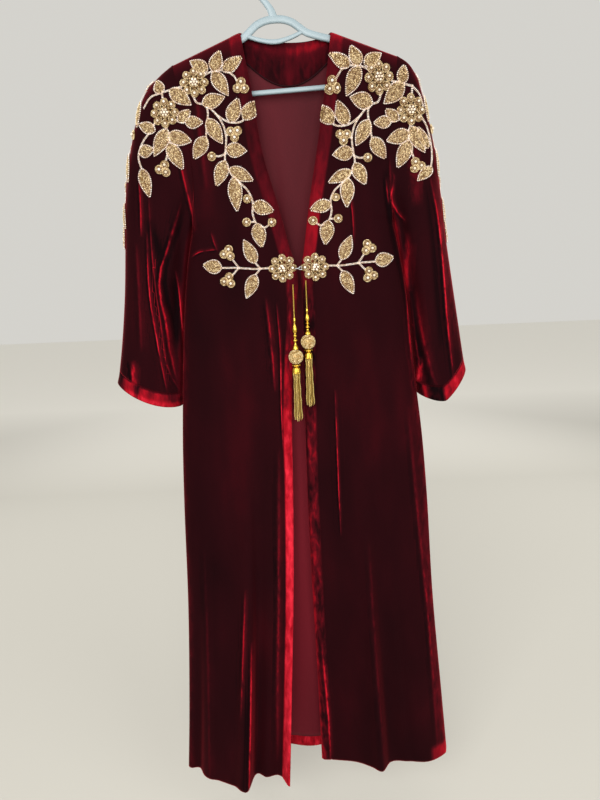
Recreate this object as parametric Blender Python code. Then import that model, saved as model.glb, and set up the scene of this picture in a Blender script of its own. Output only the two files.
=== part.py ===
"""An open-front velvet abaya on a moulded hanger, with beaded sprays, a clasp and two tassels.

The origin is where the hook bears on its rail. +X runs to the viewer's right, +Z is up and the
fronts face -Y. Places on the garment are (across, drop): metres to the viewer's right of its
centre line, and metres below the point where the shoulder meets the neck. All sizes are metres.
"""

import math

import bmesh
import bpy
import numpy as np
from mathutils import Vector
from mathutils.bvhtree import BVHTree
from mathutils.geometry import delaunay_2d_cdt


def table(columns, *rows):
    """A short table of sizes, kept as one array for each named column."""
    return dict(zip(columns.split(), np.array(rows, dtype=float).T))


# Garment: where it hangs and its main sizes
CENTRE_X = 0.020
NECK_Z = -0.084
HEM_DROP = 1.415
NECK_DROP = {"left": -0.003, "right": 0.002}
SHOULDER_DROP = 0.043
UNDERARM_DROP = 0.310
CLOTH = 0.002
TURNED_EDGE = 0.001
LINING = 0.001
FACING = 0.0015
SEAM_GAP = 0.0003
UNDERARM_EASE = 3.0
UNDERARM_REACH = 0.016
NECK_DIP = 0.013
NECK_STAND = 0.009
SIGN = {"left": -1.0, "right": 1.0}

# The two front edges, metres right of the centre line
FRONT_EDGE = table(
    "drop left right",
    (-0.003, -0.074, 0.077),
    (0.100, -0.058, 0.062),
    (0.190, -0.046, 0.046),
    (0.280, -0.023, 0.029),
    (0.350, -0.0065, 0.018),
    (0.390, 0.0042, 0.0112),
    (0.440, 0.0020, 0.0120),
    (0.540, -0.009, 0.010),
    (0.650, -0.016, 0.008),
    (0.800, -0.020, 0.007),
    (1.000, -0.028, 0.009),
    (1.215, -0.041, 0.013),
    (1.415, -0.054, 0.015),
)

# Armhole from shoulder point to underarm, then side seam to hem, outward from the centre line
SIDE = table(
    "drop left right",
    (0.043, 0.190, 0.187),
    (0.100, 0.178, 0.176),
    (0.160, 0.169, 0.168),
    (0.240, 0.167, 0.167),
    (0.310, 0.178, 0.178),
    (0.360, 0.1895, 0.1885),
    (0.430, 0.2010, 0.2005),
    (0.580, 0.2175, 0.2165),
    (0.700, 0.2280, 0.2310),
    (0.820, 0.235, 0.241),
    (1.040, 0.245, 0.254),
    (1.280, 0.262, 0.275),
    (1.415, 0.274, 0.287),
)

# How far each panel stands from the hanger's plane, by distance below the shoulder line
DEPTH = table(
    "below left right back",
    (0.000, 0.000, 0.000, 0.000),
    (0.050, 0.007, 0.007, 0.004),
    (0.100, 0.014, 0.014, 0.007),
    (0.200, 0.025, 0.025, 0.010),
    (0.390, 0.040, 0.038, 0.010),
    (0.650, 0.043, 0.038, 0.007),
    (1.000, 0.051, 0.037, 0.003),
    (1.420, 0.065, 0.034, 0.001),
)
RIDGE_REACH = 0.030
RIDGE_FRONT = 0.014
RIDGE_BACK = 0.013
SIDE_ROUNDING = 3.0
SEAM = table("drop forward", (0.310, 0.0), (0.600, 0.004), (1.415, 0.012))

# Hanging folds: where each ridge or trough meets the hem, how far it stands out there, and the
# drop at which it starts. Across runs from the front edge to the side seam, or side to side behind.
FOLDS = {
    "left": table(
        "across forward start",
        (0.00, 0.018, 0.95),
        (0.09, -0.008, 0.75),
        (0.22, -0.006, 0.70),
        (0.33, -0.010, 0.62),
        (0.38, 0.020, 0.62),
        (0.52, 0.012, 0.70),
        (0.66, 0.004, 0.80),
        (0.82, -0.004, 0.90),
        (0.87, -0.022, 0.90),
        (1.00, 0.000, 0.90),
    ),
    "right": table(
        "across forward start",
        (0.00, -0.014, 0.60),
        (0.14, -0.010, 0.50),
        (0.28, -0.004, 0.50),
        (0.38, 0.007, 0.55),
        (0.46, 0.018, 0.60),
        (0.53, 0.000, 0.60),
        (0.68, 0.002, 0.80),
        (0.84, 0.010, 0.90),
        (1.00, 0.000, 0.90),
    ),
    "back": table(
        "across forward start",
        (-1.00, 0.000, 0.90),
        (-0.78, 0.007, 0.70),
        (-0.56, -0.006, 0.60),
        (-0.30, 0.006, 0.75),
        (-0.05, -0.004, 0.60),
        (0.24, 0.007, 0.65),
        (0.50, -0.006, 0.70),
        (0.78, 0.006, 0.60),
        (1.00, 0.000, 0.90),
    ),
}
FRONT_COLUMNS = {
    "left": (0, 0.05, 0.11, 0.22, 0.33, 0.38, 0.47, 0.59, 0.71, 0.82, 0.88, 0.95, 1),
    "right": (0, 0.05, 0.13, 0.25, 0.37, 0.46, 0.53, 0.64, 0.75, 0.85, 0.94, 1),
}

# Sleeve rings from the armhole to the cuff edge: the ring's outer and inner ends, and its depths
SLEEVE_COLUMNS = "outer outer_drop inner inner_drop front back dip"
SLEEVE = {
    "left": table(
        SLEEVE_COLUMNS,
        (0.190, 0.043, 0.178, 0.310, 0.036, 0.020, 0.000),
        (0.214, 0.060, 0.1834, 0.322, 0.038, 0.021, 0.000),
        (0.238, 0.083, 0.1869, 0.338, 0.040, 0.022, 0.000),
        (0.256, 0.118, 0.1905, 0.355, 0.040, 0.022, 0.000),
        (0.271, 0.165, 0.1943, 0.376, 0.040, 0.022, 0.000),
        (0.284, 0.217, 0.1984, 0.400, 0.040, 0.022, 0.000),
        (0.294, 0.277, 0.2028, 0.430, 0.039, 0.022, 0.000),
        (0.301, 0.345, 0.2072, 0.464, 0.038, 0.021, 0.000),
        (0.310, 0.420, 0.2117, 0.504, 0.037, 0.020, 0.000),
        (0.322, 0.495, 0.2163, 0.550, 0.037, 0.020, 0.003),
        (0.334, 0.556, 0.2216, 0.604, 0.038, 0.020, 0.009),
        (0.340, 0.578, 0.2239, 0.628, 0.039, 0.021, 0.011),
    ),
    "right": table(
        SLEEVE_COLUMNS,
        (0.187, 0.043, 0.178, 0.310, 0.036, 0.020, 0.000),
        (0.206, 0.056, 0.1832, 0.322, 0.038, 0.021, 0.000),
        (0.220, 0.078, 0.1863, 0.338, 0.040, 0.022, 0.000),
        (0.231, 0.112, 0.1895, 0.355, 0.042, 0.023, 0.000),
        (0.243, 0.158, 0.1933, 0.376, 0.043, 0.024, 0.000),
        (0.253, 0.208, 0.1976, 0.400, 0.044, 0.024, 0.000),
        (0.262, 0.268, 0.2023, 0.430, 0.044, 0.024, 0.000),
        (0.271, 0.337, 0.2065, 0.464, 0.044, 0.023, 0.000),
        (0.283, 0.412, 0.2107, 0.504, 0.044, 0.022, 0.002),
        (0.296, 0.490, 0.2151, 0.550, 0.044, 0.022, 0.010),
        (0.307, 0.556, 0.2207, 0.600, 0.045, 0.022, 0.026),
        (0.312, 0.578, 0.2236, 0.623, 0.046, 0.022, 0.031),
    ),
}
RING_POWER = 2.2
DIP_POWER = {"left": 2.0, "right": 1.3}
BAND_RING = 10
CAP_RINGS = 5.0

# One deep crease down the front of each sleeve: its place between the ring's ends, and its depth
CREASE = table("ring place depth", (0, -0.70, 0.000), (2, -0.72, 0.007), (5, -0.80, 0.011),
               (8, -0.72, 0.009), (11, -0.85, 0.000))
CREASE_HALF_WIDTH = 0.16

# Rows of points up each panel, shared by the pieces that meet at a seam
ROWS_BELOW_ARM = (0.0, 0.018, 0.13, 0.26, 0.38, 0.50, 0.62, 0.725, 0.797)
ROWS_AT_ARM = (0.0, 0.045, 0.16, 0.32, 0.52, 0.74, 0.87, 0.96, 0.98875, 1.0)
BACK_COLUMNS = (-1, -0.95, -0.86, -0.74, -0.60, -0.46, -0.22, -0.08, 0.08, 0.22, 0.46, 0.60, 0.74,
                0.86, 0.95, 1)
NECK_TURN = 0.017
LINING_REACH = 0.65
FACING_ROWS = 4

# Hanger: half of its outline from the arch's top, out along the arm, round the tip and back
HANGER_TILT = math.radians(2.4)
HANGER_DEPTH = 0.0036
HANGER = table(
    "x z half",
    (0.000, -0.0640, 0.0060),
    (0.015, -0.0653, 0.0060),
    (0.029, -0.0703, 0.0060),
    (0.041, -0.0790, 0.0060),
    (0.052, -0.0872, 0.0058),
    (0.068, -0.0935, 0.0056),
    (0.093, -0.1010, 0.0055),
    (0.130, -0.1154, 0.0055),
    (0.172, -0.1325, 0.0055),
    (0.192, -0.1414, 0.0052),
    (0.2010, -0.1475, 0.0050),
    (0.2056, -0.1552, 0.0048),
    (0.2050, -0.1640, 0.0046),
    (0.1985, -0.1710, 0.0043),
    (0.188, -0.1737, 0.0041),
    (0.100, -0.1737, 0.0040),
)
EYE_BAND = table("x z half", (-0.047, -0.0855, 0.0030), (-0.028, -0.0925, 0.0034), (0.0, -0.0975, 0.0038),
                 (0.028, -0.0925, 0.0034), (0.047, -0.0855, 0.0030))
HOOK_STEM = table("x z half", (0.000, -0.0625, 0.0074), (-0.0035, -0.0500, 0.0060),
                  (-0.0115, -0.0380, 0.0050))
HOOK_RADIUS = 0.0225
HOOK_HALF = 0.0045
HOOK_FROM = math.radians(205)
HOOK_TO = math.radians(-38)

# Appliqué: heights above its own underside, and how far the underside lies off the cloth
LIFT = 0.0007
LEAST_LIFT = 0.0003
LIFT_PASSES = 5
LEAF_EDGE, LEAF_RIDGE = 0.0013, 0.0028
BERRY_EDGE, BERRY_TOP = 0.0016, 0.0048
STEM_HEIGHT = 0.0018
STEM_WIDTH = 0.0038
STEM_STEP = 0.016
BERRY_RADIUS = 0.0072
FLOWER_PETALS = 8
PETAL_RING = 0.0172
PETAL_RADIUS = 0.0065
MM = 0.001
RIGHT_SAG = 0.012

# Clasp and tassels
CLASP_X = 0.0075
CLASP_DROP = 0.384
CORD_RADIUS = 0.0011
TASSELS = {
    "left": {"across": -0.004, "exit_drop": 0.411, "bead_drop": 0.466, "ball_drop": 0.535},
    "right": {"across": 0.0185, "exit_drop": 0.405, "bead_drop": 0.452, "ball_drop": 0.510},
}
BALL_RADIUS = 0.013
STRAND_LENGTH = 0.085
STRAND_HALF = 0.0006
STRAND_RINGS = table("radius count", (0.0050, 13), (0.0024, 6))


# Materials

FINISHES = {
    "velvet": ((0.22, 0.008, 0.018, 1), 0.75, 0.0),
    "edge_velvet": ((0.42, 0.012, 0.030, 1), 0.65, 0.0),
    "satin": ((0.16, 0.022, 0.034, 1), 0.40, 0.0),
    "beadwork": ((0.72, 0.53, 0.25, 1), 0.35, 0.6),
    "gold": ((0.80, 0.58, 0.16, 1), 0.28, 0.9),
    "steel": ((0.50, 0.50, 0.52, 1), 0.30, 1.0),
    "plastic": ((0.50, 0.60, 0.60, 1), 0.35, 0.0),
}


def material(finish, owner):
    """A Principled material for one object, with its finish's colour, roughness and metal."""
    colour, roughness, metallic = FINISHES[finish]
    made = bpy.data.materials.new(owner + "_" + finish)
    made.use_nodes = True
    shader = made.node_tree.nodes["Principled BSDF"]
    shader.inputs["Base Color"].default_value = colour
    shader.inputs["Roughness"].default_value = roughness
    shader.inputs["Metallic"].default_value = metallic
    return made


def add_piece(name, points, faces, finish):
    """One closed body as a named object, its faces turned outwards."""
    mesh = bpy.data.meshes.new(name)
    mesh.from_pydata([tuple(map(float, point)) for point in points], [],
                     [tuple(map(int, face)) for face in faces])
    shape = bmesh.new()
    shape.from_mesh(mesh)
    bmesh.ops.recalc_face_normals(shape, faces=shape.faces)
    shape.to_mesh(mesh)
    shape.free()
    mesh.shade_smooth()
    mesh.set_sharp_from_angle(angle=math.radians(50))
    mesh.materials.append(material(finish, name))
    piece = bpy.data.objects.new(name, mesh)
    bpy.context.scene.collection.objects.link(piece)
    return piece


# Curves and grids

def smooth(at, knots, values):
    """Cubic curve through the knots; its slope at each is the mean of the two chords there."""
    rise = np.diff(values) / np.diff(knots)
    slope = np.concatenate((rise[:1], (rise[:-1] + rise[1:]) / 2, rise[-1:]))
    at = np.clip(at, knots[0], knots[-1])
    low = np.clip(np.searchsorted(knots, at, side="right") - 1, 0, len(knots) - 2)
    span = knots[low + 1] - knots[low]
    t = (at - knots[low]) / span
    return ((1 + 2 * t) * (1 - t) ** 2 * values[low] + t * (1 - t) ** 2 * span * slope[low]
            + (3 - 2 * t) * t ** 2 * values[low + 1] + (t - 1) * t ** 2 * span * slope[low + 1])


def ease(at, start, stop):
    """0 before start, 1 after stop, and an S-curve between."""
    t = np.clip((at - start) / (stop - start), 0, 1)
    return t * t * (3 - 2 * t)


def oval(place, power):
    """Height of a unit oval over its middle at each place from -1 to 1."""
    return np.clip(1 - np.abs(place) ** power, 0, 1) ** (1 / power)


def spread(points):
    """World position of garment points given as (across, depth towards -Y, drop)."""
    across, depth, drop = points
    return np.stack((CENTRE_X + across, -depth, NECK_Z - drop), axis=-1)


def row_heights():
    """Rows as fractions of the way from hem to shoulder point along the side and armhole."""
    arm = (HEM_DROP - UNDERARM_DROP) / (HEM_DROP - SHOULDER_DROP)
    return np.concatenate((ROWS_BELOW_ARM, arm + (1 - arm) * np.array(ROWS_AT_ARM)))


def shoulder_round(below):
    """Quarter round that carries the cloth over the shoulder line: 0 on it and 1 at its reach."""
    return np.sqrt(1 - (1 - np.clip(below / RIDGE_REACH, 0, 1)) ** 2)


def fold_depth(name, across, drop):
    """How far the hanging folds stand out: each fold grows from its start down to the hem."""
    folds = FOLDS[name]
    depth = np.zeros_like(drop)
    for unit, forward, start in zip(np.eye(len(folds["across"])), folds["forward"], folds["start"]):
        depth += smooth(across, folds["across"], unit) * forward * ease(drop, start, HEM_DROP + 0.15)
    return depth * 1.35


def armhole_depth(side, face, drop):
    """Half depth of the armhole ring at a drop; none outside the armhole."""
    place = 1 - 2 * (drop - SHOULDER_DROP) / (UNDERARM_DROP - SHOULDER_DROP)
    return SLEEVE[side][face][0] * oval(np.clip(place, -1, 1), RING_POWER)


def fall(across, drop):
    """Share of a panel's own depth left at each place on the way to its armhole or side seam."""
    to_side = ease(drop, 0.20, UNDERARM_DROP)
    return (1 - to_side) * (1 - across ** 2) + to_side * oval(across, SIDE_ROUNDING)


def front_sheet(side, across, height):
    """Outer face of a front: rows rise from hem to shoulder, columns run from edge to side."""
    u, g = np.meshgrid(across, height)
    edge_drop = HEM_DROP + (NECK_DROP[side] - HEM_DROP) * g
    side_drop = HEM_DROP + (SHOULDER_DROP - HEM_DROP) * g
    edge = smooth(edge_drop, FRONT_EDGE["drop"], FRONT_EDGE[side])
    seam = SIGN[side] * smooth(side_drop, SIDE["drop"], SIDE[side])
    drop = edge_drop + (side_drop - edge_drop) * u
    below = drop - (NECK_DROP[side] + (SHOULDER_DROP - NECK_DROP[side]) * u)
    ridge = RIDGE_FRONT * shoulder_round(below)
    depth = ridge + smooth(below, DEPTH["below"], DEPTH[side]) + fold_depth(side, u, drop)
    at_seam = armhole_depth(side, "front", side_drop) + smooth(side_drop, SEAM["drop"], SEAM["forward"])
    depth = at_seam + (depth - at_seam) * fall(u, side_drop)
    return spread((edge + (seam - edge) * u, depth, drop))


def back_neck_places():
    """Where the two neck points fall across the back, from -1 to 1."""
    left, right = SIDE["left"][0], SIDE["right"][0]
    middle, half = (right - left) / 2, (right + left) / 2
    return tuple((FRONT_EDGE[side][0] - middle) / half for side in ("left", "right"))


def back_columns():
    """The back's columns, with one at each neck point and one just inside it."""
    left, right = back_neck_places()
    return np.array(sorted(BACK_COLUMNS + (left, left + NECK_TURN, right - NECK_TURN, right)))


def back_sheet(across, height):
    """Outer face of the back: rows rise from hem to shoulders and neck, columns left to right."""
    u, g = np.meshgrid(across, height)
    neck_left, neck_right = back_neck_places()
    neck = np.where(u < 0, -neck_left, neck_right)
    inside = np.clip(1 - np.abs(u) / neck, 0, 1)
    shoulder = np.clip((np.abs(u) - neck) / (1 - neck), 0, 1)
    level = NECK_DROP["left"] + (NECK_DROP["right"] - NECK_DROP["left"]) * ease(u, neck_left, neck_right)
    top = level + (SHOULDER_DROP - level) * shoulder + NECK_DIP * (1 - (1 - inside) ** 2.5)
    side_drop = HEM_DROP + (SHOULDER_DROP - HEM_DROP) * g
    left = -smooth(side_drop, SIDE["drop"], SIDE["left"])
    right = smooth(side_drop, SIDE["drop"], SIDE["right"])
    drop = HEM_DROP + (top - HEM_DROP) * g
    below = drop - top
    ridge = shoulder_round(below)
    depth = RIDGE_BACK * ridge + smooth(below, DEPTH["below"], DEPTH["back"])
    depth += NECK_STAND * (1 - ridge) * ease((neck - np.abs(u)) / NECK_TURN, 0, 1.25)
    depth += fold_depth("back", u, drop)
    at_seam = np.where(u < 0, *(armhole_depth(side, "back", side_drop) for side in ("left", "right")))
    at_seam = at_seam - smooth(side_drop, SEAM["drop"], SEAM["forward"])
    depth = at_seam + (depth - at_seam) * fall(u, side_drop)
    return spread((left + (right - left) * (u + 1) / 2, -depth, drop))


def sleeve_points(side, ring, place, front):
    """Sleeve surface: each ring is an oval from its outer end (place 1) to its inner end (-1).

    Near the armhole the oval bends to follow the armhole's curve. A crease runs down its front, and
    the front of the cuff dips below its ends.
    """
    rows = SLEEVE[side]
    at = {name: smooth(ring, np.arange(len(values), dtype=float), values) for name, values in rows.items()}
    half = np.where(front, at["front"], at["back"])
    depth = np.where(front, 1, -1) * half * oval(place, RING_POWER)
    cut = (place - smooth(ring, CREASE["ring"], CREASE["place"])) / CREASE_HALF_WIDTH
    depth -= np.where(front, 1, 0) * smooth(ring, CREASE["ring"], CREASE["depth"]) * np.exp(-cut ** 2)
    share = (1 + place) / 2
    across = at["inner"] + (at["outer"] - at["inner"]) * share
    drop = at["inner_drop"] + (at["outer_drop"] - at["inner_drop"]) * share
    drop = drop + np.where(front, at["dip"], 0) * (1 - np.abs(place) ** DIP_POWER[side])
    arm_drop = UNDERARM_DROP + (SHOULDER_DROP - UNDERARM_DROP) * share
    chord = rows["inner"][0] + (rows["outer"][0] - rows["inner"][0]) * share
    bend = smooth(arm_drop, SIDE["drop"], SIDE[side]) - chord
    across = across + bend * np.clip(1 - ring / CAP_RINGS, 0, 1) ** 2
    return spread((SIGN[side] * across, depth, drop))


def sleeve_sheet(side, first, last):
    """Rings of a sleeve from one ring to another; columns go down the front and up the back."""
    rise = row_heights()
    arm = (HEM_DROP - UNDERARM_DROP) / (HEM_DROP - SHOULDER_DROP)
    places = 2 * (rise[rise > arm - 1e-9] - arm) / (1 - arm) - 1
    around = np.concatenate((places[::-1], places[1:-1]))
    front = np.arange(len(around)) < len(places)
    ring, place = np.meshgrid(np.arange(first, last + 1, dtype=float), around, indexing="ij")
    return sleeve_points(side, ring, place, np.broadcast_to(front, ring.shape))


def grid_normals(points, tube, outward):
    """Unit normals of a grid of points, turned to agree with the outward directions."""
    if tube:
        across = np.roll(points, -1, axis=1) - np.roll(points, 1, axis=1)
    else:
        across = np.gradient(points, axis=1)
    normal = np.cross(across, np.gradient(points, axis=0))
    normal /= np.linalg.norm(normal, axis=-1, keepdims=True)
    return normal * np.sign((normal * outward).sum(axis=-1).mean())


def share_normals(sheets):
    """Give points that lie together on a seam one normal.

    It is the mean of the body's own mean there and the sleeve's or cuff's.
    """
    together = {}
    for name, sheet in sheets.items():
        kind = "body" if name.startswith(("front", "back")) else name
        for key, normal in zip(np.round(sheet["points"].reshape(-1, 3), 6), sheet["normals"].reshape(-1, 3)):
            together.setdefault(tuple(key + 0.0), {}).setdefault(kind, []).append(normal.copy())
    for sheet in sheets.values():
        flat = sheet["normals"].reshape(-1, 3)
        for row, key in enumerate(np.round(sheet["points"].reshape(-1, 3), 6)):
            flat[row] = np.sum([np.mean(own, axis=0) for own in together[tuple(key + 0.0)].values()], axis=0)
        flat /= np.linalg.norm(flat, axis=1, keepdims=True)
        sheet["normals"] = flat.reshape(sheet["normals"].shape)


def pull_in(grid, row=None, column=None, towards=1, where=None):
    """Draw one border row or column half a seam gap towards its neighbour.

    The gap widens at the underarm, where the fronts, the back and a sleeve meet in one point.
    """
    if row is not None:
        edge, next_in = grid[row], grid[row + towards]
    else:
        edge, next_in = grid[:, column], grid[:, column + towards]
    step = next_in - edge
    off_arm = (NECK_Z - edge[:, 2:] - UNDERARM_DROP) / UNDERARM_REACH
    gap = SEAM_GAP * (1 + UNDERARM_EASE * np.exp(-off_arm ** 2))
    step *= gap / 2 / np.linalg.norm(step, axis=-1, keepdims=True)
    edge += step if where is None else step * where[:, None]


def wall_faces(outer, tube):
    """Triangles of a closed wall whose outer and inner points are two grids, one after the other.

    A rim's squares are cut from their lower outer corner, so that rims which face each other fit.
    """
    rows, columns = outer.shape[:2]
    index = np.arange(rows * columns).reshape(rows, columns)
    if tube:
        index = np.hstack((index, index[:, :1]))
    a, b, c, d = index[:-1, :-1], index[:-1, 1:], index[1:, 1:], index[1:, :-1]
    flat = outer.reshape(-1, 3)
    shorter = (np.linalg.norm(flat[a] - flat[c], axis=-1) <= np.linalg.norm(flat[b] - flat[d], axis=-1))
    pick = shorter[..., None]
    one = np.where(pick, np.stack((a, b, c), -1), np.stack((a, b, d), -1)).reshape(-1, 3)
    two = np.where(pick, np.stack((a, c, d), -1), np.stack((b, c, d), -1)).reshape(-1, 3)
    skin = np.concatenate((one, two))
    total = rows * columns
    borders = [index[0], index[-1][::-1]]
    if not tube:
        borders += [index[:, 0][::-1], index[:, -1]]
    rims = []
    for border in borders:
        start, stop = border[:-1], border[1:]
        low = (flat[start, 2] < flat[stop, 2])[:, None]
        one = np.stack((stop, start, start + total), -1), np.stack((stop, start, stop + total), -1)
        two = np.stack((stop, start + total, stop + total), -1), np.stack((start, start + total, stop + total), -1)
        rims += [np.where(low, one[1], one[0]), np.where(low, two[1], two[0])]
    return np.concatenate([skin, skin[:, ::-1] + total] + rims)


# Cloth

def cloth_sheets():
    """Outer grids and shared normals of every velvet panel."""
    height = row_heights()
    sheets = {}
    for side in ("left", "right"):
        points = front_sheet(side, np.array(FRONT_COLUMNS[side], dtype=float), height)
        sheets["front_" + side] = {"points": points, "tube": False, "outward": np.array((0.0, -1.0, 0.0))}
        for name, first, last in (("sleeve_", 0, BAND_RING), ("cuff_", BAND_RING, BAND_RING + 1)):
            points = sleeve_sheet(side, first, last)
            outward = points - points.mean(axis=1, keepdims=True)
            sheets[name + side] = {"points": points, "tube": True, "outward": outward}
    points = back_sheet(back_columns(), height)
    sheets["back"] = {"points": points, "tube": False, "outward": np.array((0.0, 1.0, 0.0))}
    for sheet in sheets.values():
        sheet["normals"] = grid_normals(sheet["points"], sheet["tube"], sheet["outward"])
    share_normals(sheets)
    flatten_shoulders(sheets)
    return sheets


def on_shoulder():
    """Which of the back's columns end on a shoulder seam, not on the open neck."""
    left, right = back_neck_places()
    columns = back_columns()
    return (columns <= left + 1e-9) | (columns >= right - 1e-9)


def flatten_shoulders(sheets):
    """Stand the shoulder seams' walls in the hanger's plane, so that front and back part there."""
    edges = [sheets["front_left"]["normals"][-1], sheets["front_right"]["normals"][-1]]
    edges += [sheets["sleeve_" + side]["normals"][0, :1] for side in ("left", "right")]
    shoulder = on_shoulder()
    back = sheets["back"]["normals"][-1]
    back[shoulder, 1] = 0
    back /= np.linalg.norm(back, axis=-1, keepdims=True)
    for edge in edges:
        edge[:, 1] = 0
        edge /= np.linalg.norm(edge, axis=-1, keepdims=True)


def thickness(name, sheet):
    """Wall thickness at each point: the turned-in front edges and the hem are a little thicker."""
    wall = np.full(sheet["points"].shape[:2], CLOTH)
    if name.startswith("front"):
        wall[:, :2] += TURNED_EDGE
    if name.startswith(("front", "back")):
        wall[0] = CLOTH + TURNED_EDGE
    if name.startswith("cuff"):
        wall += TURNED_EDGE / 2
    return wall[..., None]


def cloth_walls(sheets):
    """Outer and inner grids of each panel, drawn in at its seams."""
    walls = {}
    for name, sheet in sheets.items():
        outer = sheet["points"].copy()
        inner = outer - sheet["normals"] * thickness(name, sheet)
        for grid in (outer, inner):
            if sheet["tube"]:
                pull_in(grid, row=0)
                if name.startswith("sleeve"):
                    pull_in(grid, row=-1, towards=-1)
            elif name == "back":
                pull_in(grid, row=-1, towards=-1, where=on_shoulder().astype(float))
                pull_in(grid, column=0)
                pull_in(grid, column=-1, towards=-1)
            else:
                pull_in(grid, row=-1, towards=-1)
                pull_in(grid, column=-1, towards=-1)
        walls[name] = (outer, inner, sheet["tube"])
    return walls


def build_cloth(sheets, walls):
    """The velvet panels, then the facing and lining inside the back."""
    for name, (outer, inner, tube) in walls.items():
        points = np.concatenate((outer.reshape(-1, 3), inner.reshape(-1, 3)))
        finish = "edge_velvet" if name.startswith("cuff") else "velvet"
        add_piece(name, points, wall_faces(outer, tube), finish)
    back_inner, normals = walls["back"][1], sheets["back"]["normals"]
    columns = back_columns()
    rows = len(back_inner)
    left, right = back_neck_places()
    neck = (columns > left + NECK_TURN / 2) & (columns < right - NECK_TURN / 2)
    build_inside("neck_facing", back_inner, normals, neck, slice(rows - 1 - FACING_ROWS, rows), FACING, "velvet",
                 row=0)
    build_inside("back_lining", back_inner, normals, np.abs(columns) < LINING_REACH,
                 slice(1, rows - FACING_ROWS), LINING, "satin", row=-1, towards=-1)


def build_inside(name, grid, normals, columns, rows, wall, finish, **seam):
    """A sheet that lies on the back's inner face, made from the back's points moved in."""
    near = grid[rows][:, columns] - normals[rows][:, columns] * SEAM_GAP
    far = near - normals[rows][:, columns] * wall
    for sheet in (near, far):
        pull_in(sheet, **seam)
    points = np.concatenate((near.reshape(-1, 3), far.reshape(-1, 3)))
    add_piece(name, points, wall_faces(near, False), finish)


def outer_tree(sheets):
    """The fronts' and sleeves' outer faces without their seam gaps, for laying things on them."""
    points, faces = [], []
    for name, sheet in sheets.items():
        if name == "back":
            continue
        outer = sheet["points"]
        start = len(points)
        skin = wall_faces(outer, sheet["tube"])
        total = outer.shape[0] * outer.shape[1]
        faces += [tuple(int(i) + start for i in face) for face in skin if max(face) < total]
        points += [Vector(point) for point in outer.reshape(-1, 3)]
    return BVHTree.FromPolygons(points, faces)


# Hanger

def sweep(path, halves, depth, closed):
    """An eight-sided bar carried along a path in the XZ plane."""
    if closed:
        run = np.roll(path, -1, axis=0) - np.roll(path, 1, axis=0)
    else:
        run = np.gradient(path, axis=0)
    run /= np.linalg.norm(run, axis=1, keepdims=True)
    side = np.stack((-run[:, 1], run[:, 0]), axis=1)
    corner = np.array(((1, 0.42), (0.52, 1), (-0.52, 1), (-1, 0.42), (-1, -0.42), (-0.52, -1),
                       (0.52, -1), (1, -0.42)))
    offset = side[:, None] * (corner[None, :, :1] * halves[:, None, None])
    flat = path[:, None] + offset
    y = np.broadcast_to(corner[None, :, 1] * depth, flat.shape[:2])
    points = np.stack((flat[..., 0], y, flat[..., 1]), axis=-1)
    rows, columns = points.shape[:2]
    index = np.arange(rows * columns).reshape(rows, columns)
    index = np.hstack((index, index[:, :1]))
    if closed:
        index = np.vstack((index, index[:1]))
    faces = np.stack((index[:-1, :-1], index[:-1, 1:], index[1:, 1:], index[1:, :-1]), -1)
    faces = [list(face) for face in faces.reshape(-1, 4)]
    if not closed:
        faces += [list(index[0, :-1]), list(index[-1, :-1][::-1])]
    return points.reshape(-1, 3), faces


def along(profile, step):
    """Points and half widths at even steps along a smooth curve through a table's rows."""
    ends = np.stack((profile["x"], profile["z"]), axis=1)
    chord = np.concatenate(([0], np.cumsum(np.linalg.norm(np.diff(ends, axis=0), axis=1))))
    at = np.linspace(0, chord[-1], max(3, round(chord[-1] / step)))
    return np.stack([smooth(at, chord, profile[name]) for name in ("x", "z", "half")], axis=1)


def tilted(points):
    """Turn points about the hook's bearing point, right side up by the hanger's tilt."""
    x, y, z = points.T
    cos, sin = math.cos(HANGER_TILT), math.sin(HANGER_TILT)
    return np.stack((x * cos - z * sin, y, x * sin + z * cos), axis=1)


def unite(piece, others):
    """Merge closed bodies into the first and drop the others."""
    for other in others:
        join = piece.modifiers.new("join", "BOOLEAN")
        join.operation = "UNION"
        join.solver = "EXACT"
        join.object = other
        other.hide_render = True
        other.display_type = "WIRE"


def build_hanger():
    """Arms, arch and bar in one loop, with the eye's lower band and the hook joined on."""
    half = np.stack([HANGER[name] for name in ("x", "z", "half")], axis=1)
    loop = np.concatenate((half, half[:0:-1] * (-1, 1, 1)))
    points, faces = sweep(loop[:, :2], loop[:, 2], HANGER_DEPTH, True)
    hanger = add_piece("hanger", tilted(points), faces, "plastic")
    band = along(EYE_BAND, 0.010)
    points, faces = sweep(band[:, :2], band[:, 2], HANGER_DEPTH * 0.8, False)
    eye = add_piece("hanger_eye_band", tilted(points), faces, "plastic")
    stem = along(HOOK_STEM, 0.008)
    turn = np.linspace(HOOK_FROM, HOOK_TO, 15)
    centre = -(HOOK_RADIUS - HOOK_HALF)
    ring = np.stack((HOOK_RADIUS * np.cos(turn), centre + HOOK_RADIUS * np.sin(turn),
                     np.full(len(turn), HOOK_HALF)), axis=1)
    ring[-1, 2] *= 0.6
    wire = np.concatenate((stem, ring))
    points, faces = sweep(wire[:, :2], wire[:, 2], HANGER_DEPTH * 0.9, False)
    hook = add_piece("hanger_hook", tilted(points), faces, "plastic")
    unite(hanger, (eye, hook))


# Sprays of leaves, berries and flowers

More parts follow.
